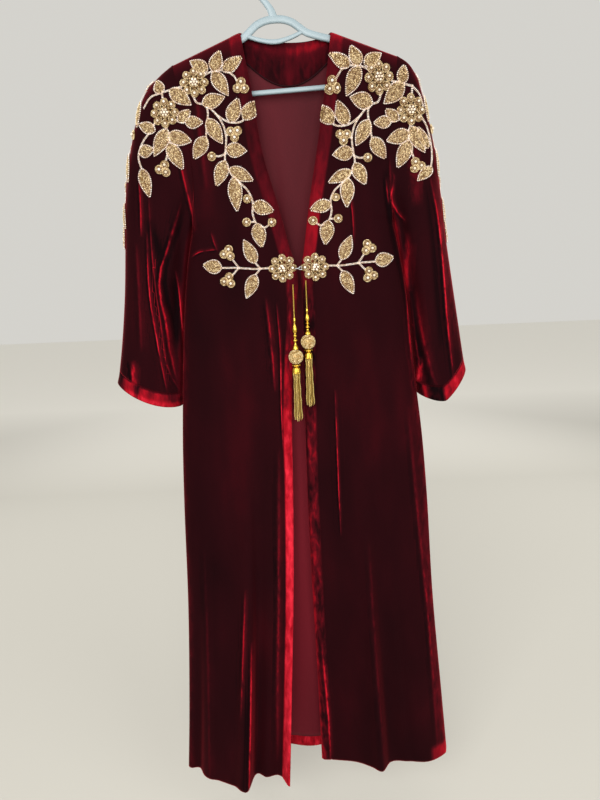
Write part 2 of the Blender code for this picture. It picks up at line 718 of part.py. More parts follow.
def leaf(base, tip, width):
    """A pointed leaf raised along its middle."""
    base, tip = np.array(base) * MM, np.array(tip) * MM
    run = tip - base
    length = np.linalg.norm(run)
    run = run / length
    side = np.array((-run[1], run[0]))
    station = np.array((0.0, 0.30, 0.68, 1.0))
    half = np.array((0.0, 1.0, 0.80, 0.0)) * width / 2 * MM
    one = base + station[:, None] * length * run + half[:, None] * side
    two = base + station[:, None] * length * run - half[:, None] * side
    outline = np.concatenate((one, two[-2:0:-1]))[::-1]
    ridge = base + np.array((0.45,))[:, None] * length * run

    def height(point):
        place, off = (point - base) @ run / length, abs((point - base) @ side)
        room = np.interp(place, station, half)
        if not -0.01 <= place <= 1.01 or off > room + 1e-5:
            return 0.0
        return LEAF_EDGE + (LEAF_RIDGE - LEAF_EDGE) * (1 - off / max(room, 1e-6))

    return outline, ridge, height


def dome(centre, radius, edge, top):
    """Height function of a round raised motif."""
    def height(point):
        off = np.linalg.norm(point - centre) / radius
        return edge + (top - edge) * (1 - off ** 2) if off <= 1.01 else 0.0
    return height


def circle(centre, radius, count, start=0.0):
    """Points evenly round a circle."""
    turn = start + 2 * np.pi * np.arange(count) / count
    return centre + radius * np.stack((np.cos(turn), np.sin(turn)), axis=1)


def berry(centre):
    """A round berry with a pearl on its middle."""
    centre = np.array(centre) * MM
    return circle(centre, BERRY_RADIUS, 7), centre[None], dome(centre, BERRY_RADIUS, BERRY_EDGE, BERRY_TOP)


def cluster(centre, turn):
    """Three berries round one point."""
    return [berry(spot / MM) for spot in circle(np.array(centre) * MM, BERRY_RADIUS * 0.94, 3, turn)]


def flower(centre):
    """A round-petalled flower: a scalloped outline, with a pearl on each petal and on the middle."""
    centre = np.array(centre) * MM
    middles = circle(centre, PETAL_RING, FLOWER_PETALS)
    outline = []
    for number, middle in enumerate(middles):
        turn = 2 * np.pi * number / FLOWER_PETALS
        arc = turn + np.radians((-40, 40))
        outline += list(middle + PETAL_RADIUS * np.stack((np.cos(arc), np.sin(arc)), axis=1))
        notch = turn + np.pi / FLOWER_PETALS
        outline.append(centre + PETAL_RING * 0.98 * np.array((np.cos(notch), np.sin(notch))))
    domes = [dome(middle, PETAL_RADIUS, BERRY_EDGE, BERRY_TOP) for middle in middles]
    domes.append(dome(centre, PETAL_RADIUS, BERRY_EDGE, BERRY_TOP))

    def height(point):
        inside = np.linalg.norm(point - centre) <= PETAL_RING
        return max([one(point) for one in domes] + [BERRY_EDGE if inside else 0.0])

    inner = np.concatenate((middles, centre[None]))
    return np.array(outline), inner, height


def stem(*points):
    """A beaded stem: a narrow band along a smooth curve through its points."""
    ends = np.array(points, dtype=float) * MM
    chord = np.concatenate(([0], np.cumsum(np.linalg.norm(np.diff(ends, axis=0), axis=1))))
    at = np.linspace(0, chord[-1], max(2, round(chord[-1] / STEM_STEP) + 1))
    path = np.stack([smooth(at, chord, ends[:, axis]) for axis in (0, 1)], axis=1)
    run = np.gradient(path, axis=0)
    run /= np.linalg.norm(run, axis=1, keepdims=True)
    side = np.stack((-run[:, 1], run[:, 0]), axis=1) * STEM_WIDTH / 2
    outline = np.concatenate((path + side, (path - side)[::-1]))[::-1]

    def height(point):
        start, step = path[:-1], np.diff(path, axis=0)
        share = np.clip(((point - start) * step).sum(1) / (step ** 2).sum(1), 0, 1)
        off = np.linalg.norm(start + share[:, None] * step - point, axis=1).min()
        return STEM_HEIGHT if off <= STEM_WIDTH / 2 + 1e-4 else 0.0

    return outline, np.zeros((0, 2)), height


# The shoulder sprays, in millimetres outward from the centre line and below the neck point
SHOULDER_STEMS = (
    ((141, 70), (128, 63), (112, 60), (98, 62), (88, 69), (80, 80)),
    ((156, 98), (150, 110), (138, 113), (121, 127), (109, 146), (105, 165), (107, 185), (109, 201),
     (103, 218), (87, 238), (73, 253), (66, 271), (67, 291), (61, 307), (48, 314), (38, 308)),
    ((121, 128), (101, 141), (82, 143), (70, 137)),
    ((105, 163), (97, 160)),
    ((107, 191), (117, 195), (127, 194)),
    ((64, 304), (74, 304)),
    ((135, 114), (133, 126), (135, 140), (139, 167)),
    ((174, 84), (192, 88), (210, 92)),
    ((207, 90), (206, 104)),
    ((203, 143), (201, 160), (201, 178), (209, 203)),
    ((190, 134), (181, 139), (168, 139)),
)
SHOULDER_LEAVES = table(
    "base_x base_drop tip_x tip_drop width",
    (130, 60, 158, 43, 21),
    (121, 61, 108, 29, 21),
    (105, 61, 72, 41, 21),
    (121, 62, 98, 100, 23),
    (193, 88, 160, 113, 23),
    (141, 112, 104, 102, 23),
    (97, 142, 82, 105, 23),
    (73, 139, 52, 110, 23),
    (134, 136, 112, 175, 23),
    (139, 164, 161, 198, 23),
    (106, 185, 72, 189, 23),
    (109, 203, 126, 243, 23),
    (102, 216, 63, 237, 21),
    (96, 230, 93, 286, 23),
    (66, 276, 31, 288, 23),
    (61, 307, 54, 347, 23),
    (182, 139, 162, 121, 18),
    (171, 140, 142, 141, 19),
    (202, 150, 226, 191, 23),
    (201, 160, 163, 170, 23),
    (201, 172, 181, 214, 23),
)
SHOULDER_FLOWERS = ((153, 78), (204, 124))
SHOULDER_BERRIES = ((131, 195), (75, 266), (78, 304), (35, 306))
SHOULDER_CLUSTERS = ((76, 87, 0.4), (91, 160, 1.6), (213, 212, 2.2))

# What each shoulder has of its own, near the sleeve's outer edge
OWN_LEAVES = {
    "left": ((209, 93, 215, 70, 18), (222, 152, 250, 138, 18), (252, 184, 226, 180, 20), (250, 210, 240, 256, 20)),
    "right": ((189, 88, 196, 62, 18), (232, 184, 214, 150, 16), (238, 215, 214, 240, 18)),
}
OWN_STEMS = {
    "left": (((208, 92), (226, 97), (240, 114)), ((218, 134), (228, 150)), ((226, 148), (246, 170), (254, 190),
             (249, 214))),
    "right": (((208, 92), (219, 101), (226, 118)), ((220, 132), (231, 150), (238, 178), (239, 200), (236, 219))),
}

# The waist sprays, in millimetres outward from the clasp and below the neck point
WAIST_FLOWER = (28.3, 383)
WAIST_STEMS = (
    ((43, 381), (75, 382), (108, 379), (138, 378)),
    ((102, 380), (109, 371), (116, 360)),
    ((104, 380), (112, 388), (119, 396)),
    ((66, 382), (76, 370)),
    ((66, 382), (77, 394)),
)
WAIST_LEAVES = table(
    "base_x base_drop tip_x tip_drop width",
    (133, 378, 166, 372, 23),
    (74, 372, 92, 333, 21),
    (75, 392, 93, 431, 21),
)
WAIST_CLUSTERS = ((121, 354, 0.2), (123, 400, 2.3))

# Leaves down the outer side of the sleeve: metres from the shoulder point along the sleeve's outer
# line, then round it towards the front
OUTER_STEM = ((42, 2), (78, 8), (125, -6), (180, 6), (235, 0), (290, 4))
OUTER_LEAVES = table(
    "base_x base_drop tip_x tip_drop width",
    (56, 5, 40, -26, 20),
    (80, 8, 112, 30, 20),
    (106, 0, 92, -34, 20),
    (140, -5, 176, -30, 20),
    (168, 3, 204, 28, 20),
    (214, 3, 246, -22, 20),
    (250, 1, 286, 24, 18),
    (288, 4, 328, 6, 18),
)
OUTER_BERRIES = ((130, 20), (196, -16), (262, -14))


def leaves_of(rows):
    """Leaves from a table's rows."""
    return [leaf(row[:2], row[2:4], row[4]) for row in zip(*rows.values())]


def shoulder_motifs(side):
    """Everything in one shoulder spray; the right one hangs a little lower in its middle."""
    motifs = leaves_of(SHOULDER_LEAVES) + [stem(*points) for points in SHOULDER_STEMS + OWN_STEMS[side]]
    motifs += [leaf(row[:2], row[2:4], row[4]) for row in OWN_LEAVES[side]]
    motifs += [flower(spot) for spot in SHOULDER_FLOWERS] + [berry(spot) for spot in SHOULDER_BERRIES]
    for across, drop, turn in SHOULDER_CLUSTERS:
        motifs += cluster((across, drop), turn)
    return motifs


def waist_motifs():
    """Everything in one waist spray."""
    motifs = leaves_of(WAIST_LEAVES) + [stem(*points) for points in WAIST_STEMS] + [flower(WAIST_FLOWER)]
    for across, drop, turn in WAIST_CLUSTERS:
        motifs += cluster((across, drop), turn)
    return motifs


def merged_plan(motifs):
    """Flat triangles that cover every motif once, and each point's height."""
    corners, loops = [], []
    for outline, inner, _ in motifs:
        loops.append(list(range(len(corners), len(corners) + len(outline))))
        corners += [Vector(point) for point in outline] + [Vector(point) for point in inner]
    spots, _, faces, _, _, sources = delaunay_2d_cdt(corners, [], loops, 1, 1e-6, True)
    faces = [face for face, source in zip(faces, sources) if source]
    used = sorted({corner for face in faces for corner in face})
    number = {corner: new for new, corner in enumerate(used)}
    spots = np.array([spots[corner] for corner in used])
    heights = np.array([max(max(height(spot) for _, _, height in motifs), LEAF_EDGE) for spot in spots])
    return spots, heights, [[number[corner] for corner in face] for face in faces]


def clear_lift(points, normals, faces, tree):
    """How far to lift each point off the cloth so that no face between them dips into it."""
    lift = np.full(len(points), LIFT)
    steps = range(5)
    shares = np.array([(a, b, 4 - a - b) for a in steps for b in steps if a + b <= 4]) / 4
    for _ in range(LIFT_PASSES):
        raised = points + normals * lift[:, None]
        wanted = lift.copy()
        for face in faces:
            mean = Vector(normals[face].mean(axis=0))
            for spot in shares @ raised[face]:
                near, normal, _, _ = tree.find_nearest(Vector(spot))
                over = (Vector(spot) - near).dot(normal if normal.dot(mean) > 0 else -normal)
                if over < LEAST_LIFT:
                    wanted[face] = np.maximum(wanted[face], lift[face] + LEAST_LIFT - over)
        lift = wanted
    return lift


def lay_down(name, motifs, lay, tree):
    """Raise the merged motifs off the cloth as one closed body.

    lay takes a flat point and gives the point of cloth under it and the cloth's normal there.
    """
    spots, heights, faces = merged_plan(motifs)
    laid = [lay(spot) for spot in spots]
    points = np.array([tuple(point) for point, _ in laid])
    normals = np.array([tuple(normal) for _, normal in laid])
    lift = clear_lift(points, normals, faces, tree)
    under = list(points + normals * lift[:, None])
    over = list(points + normals * (lift + heights)[:, None])
    total = len(spots)
    sides = {}
    for face in faces:
        for start, stop in zip(face, face[1:] + face[:1]):
            if sides.pop((stop, start), None) is None:
                sides[(start, stop)] = True
    skin = [[corner + total for corner in face] for face in faces]
    skin += [face[::-1] for face in faces]
    skin += [[start, stop, stop + total, start + total] for start, stop in sides]
    add_piece(name, under + over, skin, "beadwork")


def front_lay(tree, side, centre):
    """Lay points given outward from a centre line onto the front of the cloth."""
    sag = RIGHT_SAG if side == "right" and centre == 0 else 0.0

    def lay(spot):
        fall_by = sag * float(ease(spot[1], 0.05, 0.13) * (1 - ease(spot[1], 0.20, 0.30)))
        x = CENTRE_X + centre + SIGN[side] * spot[0]
        start = Vector((x, -1.0, NECK_Z - spot[1] - fall_by))
        point, normal, _, _ = tree.ray_cast(start, Vector((0, 1, 0)))
        if point is None:
            point, normal, _, _ = tree.find_nearest(start + Vector((0, 1, 0)))
        return point, normal if normal.y < 0 else -normal

    return lay


def outer_lay(tree, side):
    """Lay points given along and round the sleeve onto its outer side."""
    rings = np.linspace(0, BAND_RING, 200)
    line = sleeve_points(side, rings, np.ones(200), np.ones(200, dtype=bool))
    run = np.concatenate(([0], np.cumsum(np.linalg.norm(np.diff(line, axis=0), axis=1))))
    turn = np.linspace(0, 1.4, 60)

    def lay(spot):
        ring = np.interp(spot[0], run, rings)
        front = np.full(60, spot[1] >= 0)
        girth = sleeve_points(side, np.full(60, ring), np.cos(turn), front)
        reach = np.concatenate(([0], np.cumsum(np.linalg.norm(np.diff(girth, axis=0), axis=1))))
        place = np.cos(np.interp(abs(spot[1]), reach, turn))
        spot_3d = sleeve_points(side, np.array([ring]), np.array([place]), front[:1])[0]
        point, normal, _, _ = tree.find_nearest(Vector(spot_3d))
        middle = Vector(sleeve_points(side, np.array([ring]), np.array([0.0]), front[:1])[0])
        middle.y = 0
        return point, normal if normal.dot(point - middle) > 0 else -normal

    return lay


def build_sprays(tree):
    """The shoulder, outer-sleeve and waist sprays of both sides."""
    outer = [stem(*OUTER_STEM)] + leaves_of(OUTER_LEAVES) + [berry(spot) for spot in OUTER_BERRIES]
    outer += [stem((130, -4), (130, 16)), stem((196, 4), (196, -12)), stem((262, 2), (262, -10))]
    for side in ("left", "right"):
        lay_down("spray_shoulder_" + side, shoulder_motifs(side), front_lay(tree, side, 0.0), tree)
        lay_down("spray_outer_" + side, outer, outer_lay(tree, side), tree)
        lay_down("spray_waist_" + side, waist_motifs(), front_lay(tree, side, CLASP_X), tree)


# Clasp and tassels

def wire(name, points, radius, finish, cyclic=False):
    """A round wire along a smooth curve through its points."""
    ends = np.array(points, dtype=float)
    if not cyclic:
        chord = np.concatenate(([0], np.cumsum(np.linalg.norm(np.diff(ends, axis=0), axis=1))))
        at = np.linspace(0, chord[-1], max(4, round(chord[-1] / (radius * 5))))
        ends = np.stack([smooth(at, chord, ends[:, axis]) for axis in range(3)], axis=1)
    curve = bpy.data.curves.new(name, "CURVE")
    curve.dimensions = "3D"
    line = curve.splines.new("POLY")
    line.points.add(len(ends) - 1)
    line.points.foreach_set("co", np.column_stack((ends, np.ones(len(ends)))).ravel())
    curve.bevel_depth = radius
    curve.bevel_resolution = 2
    curve.use_fill_caps = True
    curve.materials.append(material(finish, name))
    piece = bpy.data.objects.new(name, curve)
    bpy.context.scene.collection.objects.link(piece)
    return piece


def turned(name, profile, centre, sides, finish):
    """A turned solid: rows of (radius, distance down) from its top centre to its bottom centre."""
    x, y, z = centre
    turn = 2 * np.pi * np.arange(sides) / sides
    rings = [np.stack((x + radius * np.cos(turn), y + radius * np.sin(turn),
                       np.full(sides, z - down)), axis=1) for radius, down in profile]
    points = np.concatenate(rings)
    index = np.arange(len(points)).reshape(len(rings), sides)
    index = np.hstack((index, index[:, :1]))
    faces = np.stack((index[:-1, :-1], index[:-1, 1:], index[1:, 1:], index[1:, :-1]), -1)
    faces = [list(face) for face in faces.reshape(-1, 4)]
    faces += [list(index[0, :-1]), list(index[-1, :-1])]
    return add_piece(name, points, faces, finish)


def cloth_front(tree, across, drop):
    """How far forward the fronts lie at a place; the hanger's plane where they part."""
    start = Vector((CENTRE_X + across, -1.0, NECK_Z - drop))
    point, _, _, _ = tree.ray_cast(start, Vector((0, 1, 0)))
    return point.y if point else 0.0


def build_clasp(tree):
    """A wire hook from the left edge that holds a wire eye on the right one."""
    z = NECK_Z - CLASP_DROP
    x = CENTRE_X + CLASP_X
    face = min(cloth_front(tree, CLASP_X - 0.008, CLASP_DROP), cloth_front(tree, CLASP_X + 0.009, CLASP_DROP))
    radius = 0.0006
    step = 2 * radius + 0.0004
    y = face - radius - 0.0006 - step
    eye = [(x + 0.0058, y, z + 0.0017), (x + 0.0035, y, z + 0.0022), (x + 0.0006, y, z + 0.0018),
           (x - 0.0008, y, z), (x + 0.0006, y, z - 0.0018), (x + 0.0035, y, z - 0.0022),
           (x + 0.0058, y, z - 0.0017)]
    wire("clasp_eye", eye, radius, "steel")
    hook = [(x - 0.0068, y - step, z), (x - 0.0030, y - step, z), (x + 0.0004, y - step, z),
            (x + 0.0018, y - step * 0.55, z), (x + 0.0021, y, z), (x + 0.0016, y + step * 0.62, z),
            (x - 0.0002, y + step, z), (x - 0.0040, y + step, z)]
    wire("clasp_hook", hook, radius, "steel")


BEADS = table(
    "radius down",
    (0.0012, 0.000), (0.0016, 0.001), (0.0016, 0.009), (0.0011, 0.010), (0.0022, 0.012), (0.0031, 0.025),
    (0.0016, 0.0265), (0.0038, 0.030), (0.0016, 0.0335), (0.0042, 0.0375), (0.0018, 0.0415),
    (0.0048, 0.049), (0.0056, 0.0525),
)
CAP = table(
    "radius down",
    (0.0060, 0.000), (0.0068, 0.0022), (0.0030, 0.0040), (0.0050, 0.0065), (0.0055, 0.0085), (0.0062, 0.0160),
    (0.0062, 0.0170),
)


def build_tassel(side, tree):
    """A cord, threaded beads, a ball, and a star cap whose strands grow from its underside."""
    sizes = TASSELS[side]
    x = CENTRE_X + sizes["across"]
    top = NECK_Z - sizes["exit_drop"]
    bead_top = NECK_Z - sizes["bead_drop"]
    ball = NECK_Z - sizes["ball_drop"]
    drops = np.linspace(sizes["bead_drop"], sizes["ball_drop"] + 0.12, 12)
    reach = (-BALL_RADIUS, 0.0, BALL_RADIUS)
    cloth = min(cloth_front(tree, sizes["across"] + off, drop) for drop in drops for off in reach)
    y = cloth - BALL_RADIUS - 0.0006
    exit_y = cloth_front(tree, CLASP_X + SIGN[side] * 0.010, sizes["exit_drop"]) - CORD_RADIUS - 0.0006
    middle = (top + bead_top) / 2
    wire("tassel_cord_" + side, [(x, exit_y, top), (x, exit_y + (y - exit_y) * 0.2, top - 0.010),
                                 (x, exit_y + (y - exit_y) * 0.62, middle), (x, y, bead_top + SEAM_GAP)],
         CORD_RADIUS, "gold")
    scale = (bead_top - (ball + BALL_RADIUS + SEAM_GAP)) / BEADS["down"][-1]
    turned("tassel_beads_" + side, list(zip(BEADS["radius"], BEADS["down"] * scale)), (x, y, bead_top), 8,
           "gold")
    arc = np.radians(np.linspace(9, 171, 8))
    turned("tassel_ball_" + side, list(zip(BALL_RADIUS * np.sin(arc), BALL_RADIUS * (1 - np.cos(arc)))),
           (x, y, ball + BALL_RADIUS), 12, "beadwork")
    cap_top = ball - BALL_RADIUS - SEAM_GAP
    head = turned("tassel_skirt_" + side, list(zip(CAP["radius"], CAP["down"])), (x, y, cap_top), 12, "gold")
    points, faces = strand_mesh(x, y, cap_top - CAP["down"][-1])
    strands = add_piece("tassel_strands_" + side, points, faces, "gold")
    unite(head, (strands,))


def strand_mesh(x, y, z):
    """Three-sided strands whose roots reach 2 mm up into the head."""
    points, faces = [], []
    number = 0
    for radius, count in zip(STRAND_RINGS["radius"], STRAND_RINGS["count"].astype(int)):
        for turn in 2 * np.pi * np.arange(count) / count:
            number += 1
            sway = 0.0011 * math.sin(number * 2.3)
            length = STRAND_LENGTH * (0.955 + 0.045 * math.cos(number * 1.7))
            run = np.array((math.cos(turn), math.sin(turn)))
            for down, out in ((-0.002, 0.0), (length * 0.5, 0.0009), (length, 0.0016 + sway)):
                middle = np.array((x, y)) + run * (radius + out)
                for corner in circle(middle, STRAND_HALF * 1.15, 3, turn):
                    points.append((corner[0], corner[1], z - down))
            root = len(points) - 9
            for low in (root, root + 3):
                for one in range(3):
                    two = (one + 1) % 3
                    faces.append((low + one, low + two, low + two + 3, low + one + 3))
            faces += [(root, root + 1, root + 2), (root + 6, root + 7, root + 8)]
    return points, faces


def main():
    """Clear the scene and build every piece."""
    for old in list(bpy.data.objects):
        bpy.data.objects.remove(old)
    sheets = cloth_sheets()
    walls = cloth_walls(sheets)
    build_cloth(sheets, walls)
    build_hanger()
    tree = outer_tree(sheets)
    build_sprays(tree)
    build_clasp(tree)
    for side in ("left", "right"):
        build_tassel(side, tree)


main()
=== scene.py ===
"""A velvet abaya on its moulded hanger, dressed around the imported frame.

The row frame holds throughout: the origin is where the hook bears on its rail, +X runs to the
viewer's right, +Z is up and the fronts face -Y. A place on the garment is (across, drop): metres
right of its centre line, and metres below the point where the shoulder meets the neck.
"""

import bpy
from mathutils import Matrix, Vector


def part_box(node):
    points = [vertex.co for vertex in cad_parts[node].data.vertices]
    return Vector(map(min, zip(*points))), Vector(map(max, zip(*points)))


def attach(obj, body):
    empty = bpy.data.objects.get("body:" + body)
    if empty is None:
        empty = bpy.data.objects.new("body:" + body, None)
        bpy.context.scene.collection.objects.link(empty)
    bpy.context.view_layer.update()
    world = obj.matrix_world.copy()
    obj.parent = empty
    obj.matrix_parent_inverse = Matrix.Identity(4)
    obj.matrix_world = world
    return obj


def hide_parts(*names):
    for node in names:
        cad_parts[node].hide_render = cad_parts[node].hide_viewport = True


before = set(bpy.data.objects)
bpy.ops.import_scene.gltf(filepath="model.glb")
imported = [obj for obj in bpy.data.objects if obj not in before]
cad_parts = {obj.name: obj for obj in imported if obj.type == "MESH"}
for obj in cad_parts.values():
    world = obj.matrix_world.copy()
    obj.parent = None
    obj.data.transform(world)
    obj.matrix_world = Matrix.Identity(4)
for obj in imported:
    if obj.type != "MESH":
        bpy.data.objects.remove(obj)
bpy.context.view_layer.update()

import logging
import math
from dataclasses import dataclass, field, replace
from enum import Enum
from typing import Callable, ClassVar, Dict, List, Optional, Sequence, Tuple, Union

import bpy
import numpy as np
from mathutils import Matrix

logging.basicConfig(level=logging.INFO, format="%(name)s: %(message)s")
log = logging.getLogger("abaya")

Array = np.ndarray
Table = Dict[str, Array]
Colour = Tuple[float, float, float]
Marks = Dict[str, Array]
Material = bpy.types.Material

PILE_CHANNELS = 3
PILE_REACH = 0.012


def table(columns: str, *rows: Sequence[float]) -> Table:
    """A short table of sizes, kept as one array for each named column."""
    return dict(zip(columns.split(), np.array(rows, dtype=float).T))


def lengths(columns: str, *rows: Sequence[float]) -> Table:
    """A table whose numbers are written in millimetres and kept in metres."""
    return {name: column / 1000 for name, column in table(columns, *rows).items()}


class Side(Enum):
    """The viewer's left or right half of the garment."""

    LEFT = "left"
    RIGHT = "right"

    @property
    def sign(self) -> float:
        """Which way is outwards along X."""
        return -1.0 if self is Side.LEFT else 1.0


class Slot(Enum):
    """The record's material slots."""

    VELVET = "velvet"
    EDGE_VELVET = "edge_velvet"
    SATIN = "satin"
    BEADWORK = "beadwork"
    GOLD_BEAD = "gold_bead"
    GOLD_THREAD = "gold_thread"
    STEEL = "steel"
    PLASTIC = "plastic"


# Curves

def smooth(at: Array, knots: Array, values: Array) -> Array:
    """Cubic curve through the knots; its slope at each is the mean of the two chords there."""
    rise = np.diff(values) / np.diff(knots)
    slope = np.concatenate((rise[:1], (rise[:-1] + rise[1:]) / 2, rise[-1:]))
    at = np.clip(at, knots[0], knots[-1])
    low = np.clip(np.searchsorted(knots, at, side="right") - 1, 0, len(knots) - 2)
    span = knots[low + 1] - knots[low]
    t = (at - knots[low]) / span
    return ((1 + 2 * t) * (1 - t) ** 2 * values[low] + t * (1 - t) ** 2 * span * slope[low]
            + (3 - 2 * t) * t ** 2 * values[low + 1] + (t - 1) * t ** 2 * span * slope[low + 1])


def curve(rows: Table, column: str, at: Array) -> Array:
    """A column of a table along a smooth curve, read at places of its first column."""
    return smooth(at, next(iter(rows.values())), rows[column])


def ease(at: Array, start: float, stop: float) -> Array:
    """0 before start, 1 after stop, and an S-curve, t squared times (3 - 2t), between."""
    t = np.clip((at - start) / (stop - start), 0, 1)
    return t * t * (3 - 2 * t)


def oval(place: Array, power: float) -> Array:
    """Height of a unit oval over its middle: the power root of 1 - |place| to that power."""
    return np.clip(1 - np.abs(place) ** power, 0, 1) ** (1 / power)


def hump(at: Array, middle: Union[float, Array], width: float) -> Array:
    """A bell curve: exp(-((at - middle) / width) squared)."""
    return np.exp(-((at - middle) / width) ** 2)


def stepped(at: Array, base: float, *steps: Tuple[float, float, float]) -> Array:
    """A base level with an S-curve added for each row of (start, stop, gain)."""
    for start, stop, gain in steps:
        base = base + gain * ease(at, start, stop)
    return base


def turns(count: int) -> Array:
    """Angles of a count of places spaced evenly round one turn."""
    return 2 * np.pi * np.arange(count) / count


def circle(angles: Array) -> Array:
    """Places of a unit circle, as pairs of cosine and sine."""
    return np.stack((np.cos(angles), np.sin(angles)), -1)


def travelled(points: Array) -> Array:
    """Length of the straight runs from the first point to each point."""
    return np.concatenate(([0], np.cumsum(np.linalg.norm(np.diff(points, axis=0), axis=1))))


def unit(vectors: Array) -> Array:
    """Vectors brought to length 1 along the last axis."""
    return vectors / np.maximum(np.linalg.norm(vectors, axis=-1, keepdims=True), 1e-12)


def along(points: Array, step: float) -> Tuple[Array, Array]:
    """Even steps along a smooth curve through points, by chord length."""
    chord = travelled(points[:, :3])
    at = np.linspace(0, chord[-1], max(2, round(chord[-1] / step) + 1))
    return np.stack([smooth(at, chord, column) for column in points.T], axis=1), at


# Shader kit

Input = Union[float, Sequence[float], "Value", str, bool]


class Value:
    """A shader socket that can stand in an arithmetic expression."""

    def __init__(self, kit: "ShaderKit", socket: bpy.types.NodeSocket) -> None:
        self.kit = kit
        self.socket = socket

    def _with(self, operation: str, first: Input, second: Input) -> "Value":
        """One Math node of an operation on two inputs."""
        return self.kit.node("ShaderNodeMath", {"operation": operation}, {0: first, 1: second})

    def __add__(self, other: Input) -> "Value":
        """self + other."""
        return self._with("ADD", self, other)

    def __radd__(self, other: Input) -> "Value":
        """other + self."""
        return self._with("ADD", other, self)

    def __sub__(self, other: Input) -> "Value":
        """self - other."""
        return self._with("SUBTRACT", self, other)

    def __mul__(self, other: Input) -> "Value":
        """self * other."""
        return self._with("MULTIPLY", self, other)

    def sine(self) -> "Value":
        """Sine of self."""
        return self.kit.node("ShaderNodeMath", {"operation": "SINE"}, {0: self})

    def bell(self) -> "Value":
        """exp(-self squared)."""
        return self.kit.node("ShaderNodeMath", {"operation": "EXPONENT"}, {0: self * self * -1.0})

    def clamped(self) -> "Value":
        """Self kept from 0 to 1."""
        return self.kit.node("ShaderNodeClamp", {}, {"Value": self})


class ShaderKit:
    """Makes one material's nodes."""

    def __init__(self, name: str) -> None:
        """Start an empty material."""
        self.material = bpy.data.materials.new(name)
        self.material.use_nodes = True
        self.tree = self.material.node_tree
        self.shader = self.tree.nodes["Principled BSDF"]

    def node(self, kind: str, settings: Optional[dict] = None, inputs: Optional[dict] = None,
             output: Union[int, str] = 0) -> Value:
        """Add one node."""
        made = self.tree.nodes.new(kind)
        for name, value in (settings or {}).items():
            if name == "stops":
                self._set_stops(made.color_ramp, value)
            else:
                setattr(made, name, value)
        for name, value in (inputs or {}).items():
            self.feed(made.inputs[name], value)
        return Value(self, made.outputs[output])

    def feed(self, socket: bpy.types.NodeSocket, value: Input) -> None:
        """Link a socket, or set its constant."""
        if isinstance(value, Value):
            self.tree.links.new(value.socket, socket)
        elif isinstance(value, (tuple, list)) and socket.type == "RGBA" and len(value) == 3:
            socket.default_value = (*value, 1.0)
        else:
            socket.default_value = value

    @staticmethod
    def _set_stops(ramp: bpy.types.ColorRamp, stops: Sequence[Tuple[float, Colour]]) -> None:
        """Give a ramp its stops."""
        while len(ramp.elements) < len(stops):
            ramp.elements.new(0.5)
        for element, (place, _) in zip(ramp.elements, stops):
            element.position = place
        for element, (_, colour) in zip(ramp.elements, stops):
            element.color = (*colour, 1.0)

    def principled(self, **inputs: Input) -> None:
        """Set or link the main shader's sockets; an underscore in a name is a space."""
        for name, value in inputs.items():
            self.feed(self.shader.inputs[name.replace("_", " ")], value)

    def place(self, stretch: Sequence[float] = (1, 1, 1)) -> Value:
        """Object coordinates, scaled along each axis."""
        return self.node("ShaderNodeMapping", {}, {
            "Vector": self.node("ShaderNodeTexCoord", output="Object"), "Scale": tuple(stretch)})

    def noise(self, scale: float, detail: float = 3.0, stretch: Sequence[float] = (1, 1, 1),
              distortion: float = 0.0) -> Value:
        """Noise from 0 to 1 over the piece's own coordinates."""
        return self.node("ShaderNodeTexNoise", {}, {
            "Vector": self.place(stretch), "Scale": scale, "Detail": detail, "Distortion": distortion})

    def attribute(self, name: str) -> Value:
        """A number that the mesh carries at its points."""
        return self.node("ShaderNodeAttribute", {"attribute_name": name}, output="Fac")

    def ramp(self, factor: Value, stops: Sequence[Tuple[float, Colour]]) -> Value:
        """A colour ramp read at a factor."""
        return self.node("ShaderNodeValToRGB", {"stops": stops}, {"Fac": factor})

    def mix(self, factor: Input, first: Input, second: Input) -> Value:
        """Two colours mixed by a factor."""
        return self.node("ShaderNodeMix", {"data_type": "RGBA"}, {0: factor, 6: first, 7: second}, output=2)

    def bump(self, height: Value, distance: float, strength: float = 1.0) -> Value:
        """A Bump node for the Normal socket."""
        return self.node("ShaderNodeBump", {}, {
            "Height": height, "Distance": distance, "Strength": strength})


def tone(code: str) -> Colour:
    """A colour written as six hexadecimal digits, as the linear values a shader takes."""
    parts = [int(code[at:at + 2], 16) / 255 for at in (0, 2, 4)]
    return tuple(part / 12.92 if part <= 0.04045 else ((part + 0.055) / 1.055) ** 2.4 for part in parts)


# Finishes

class Finish:
    """A procedural finish; each subclass wires its own shader."""

    def material(self, name: str) -> Material:
        """Build the finish under a name."""
        kit = ShaderKit(name)
        self.wire(kit)
        return kit.material

    def wire(self, kit: ShaderKit) -> None:
        """Set the shader's inputs."""
        raise NotImplementedError


@dataclass(frozen=True)
class TwoTone(Finish):
    """A finish between a dark and a light tone."""

    dark: str
    light: str

    def blend(self, kit: ShaderKit, factor: Value) -> Value:
        """The two tones mixed by a factor."""
        return kit.mix(factor, tone(self.dark), tone(self.light))


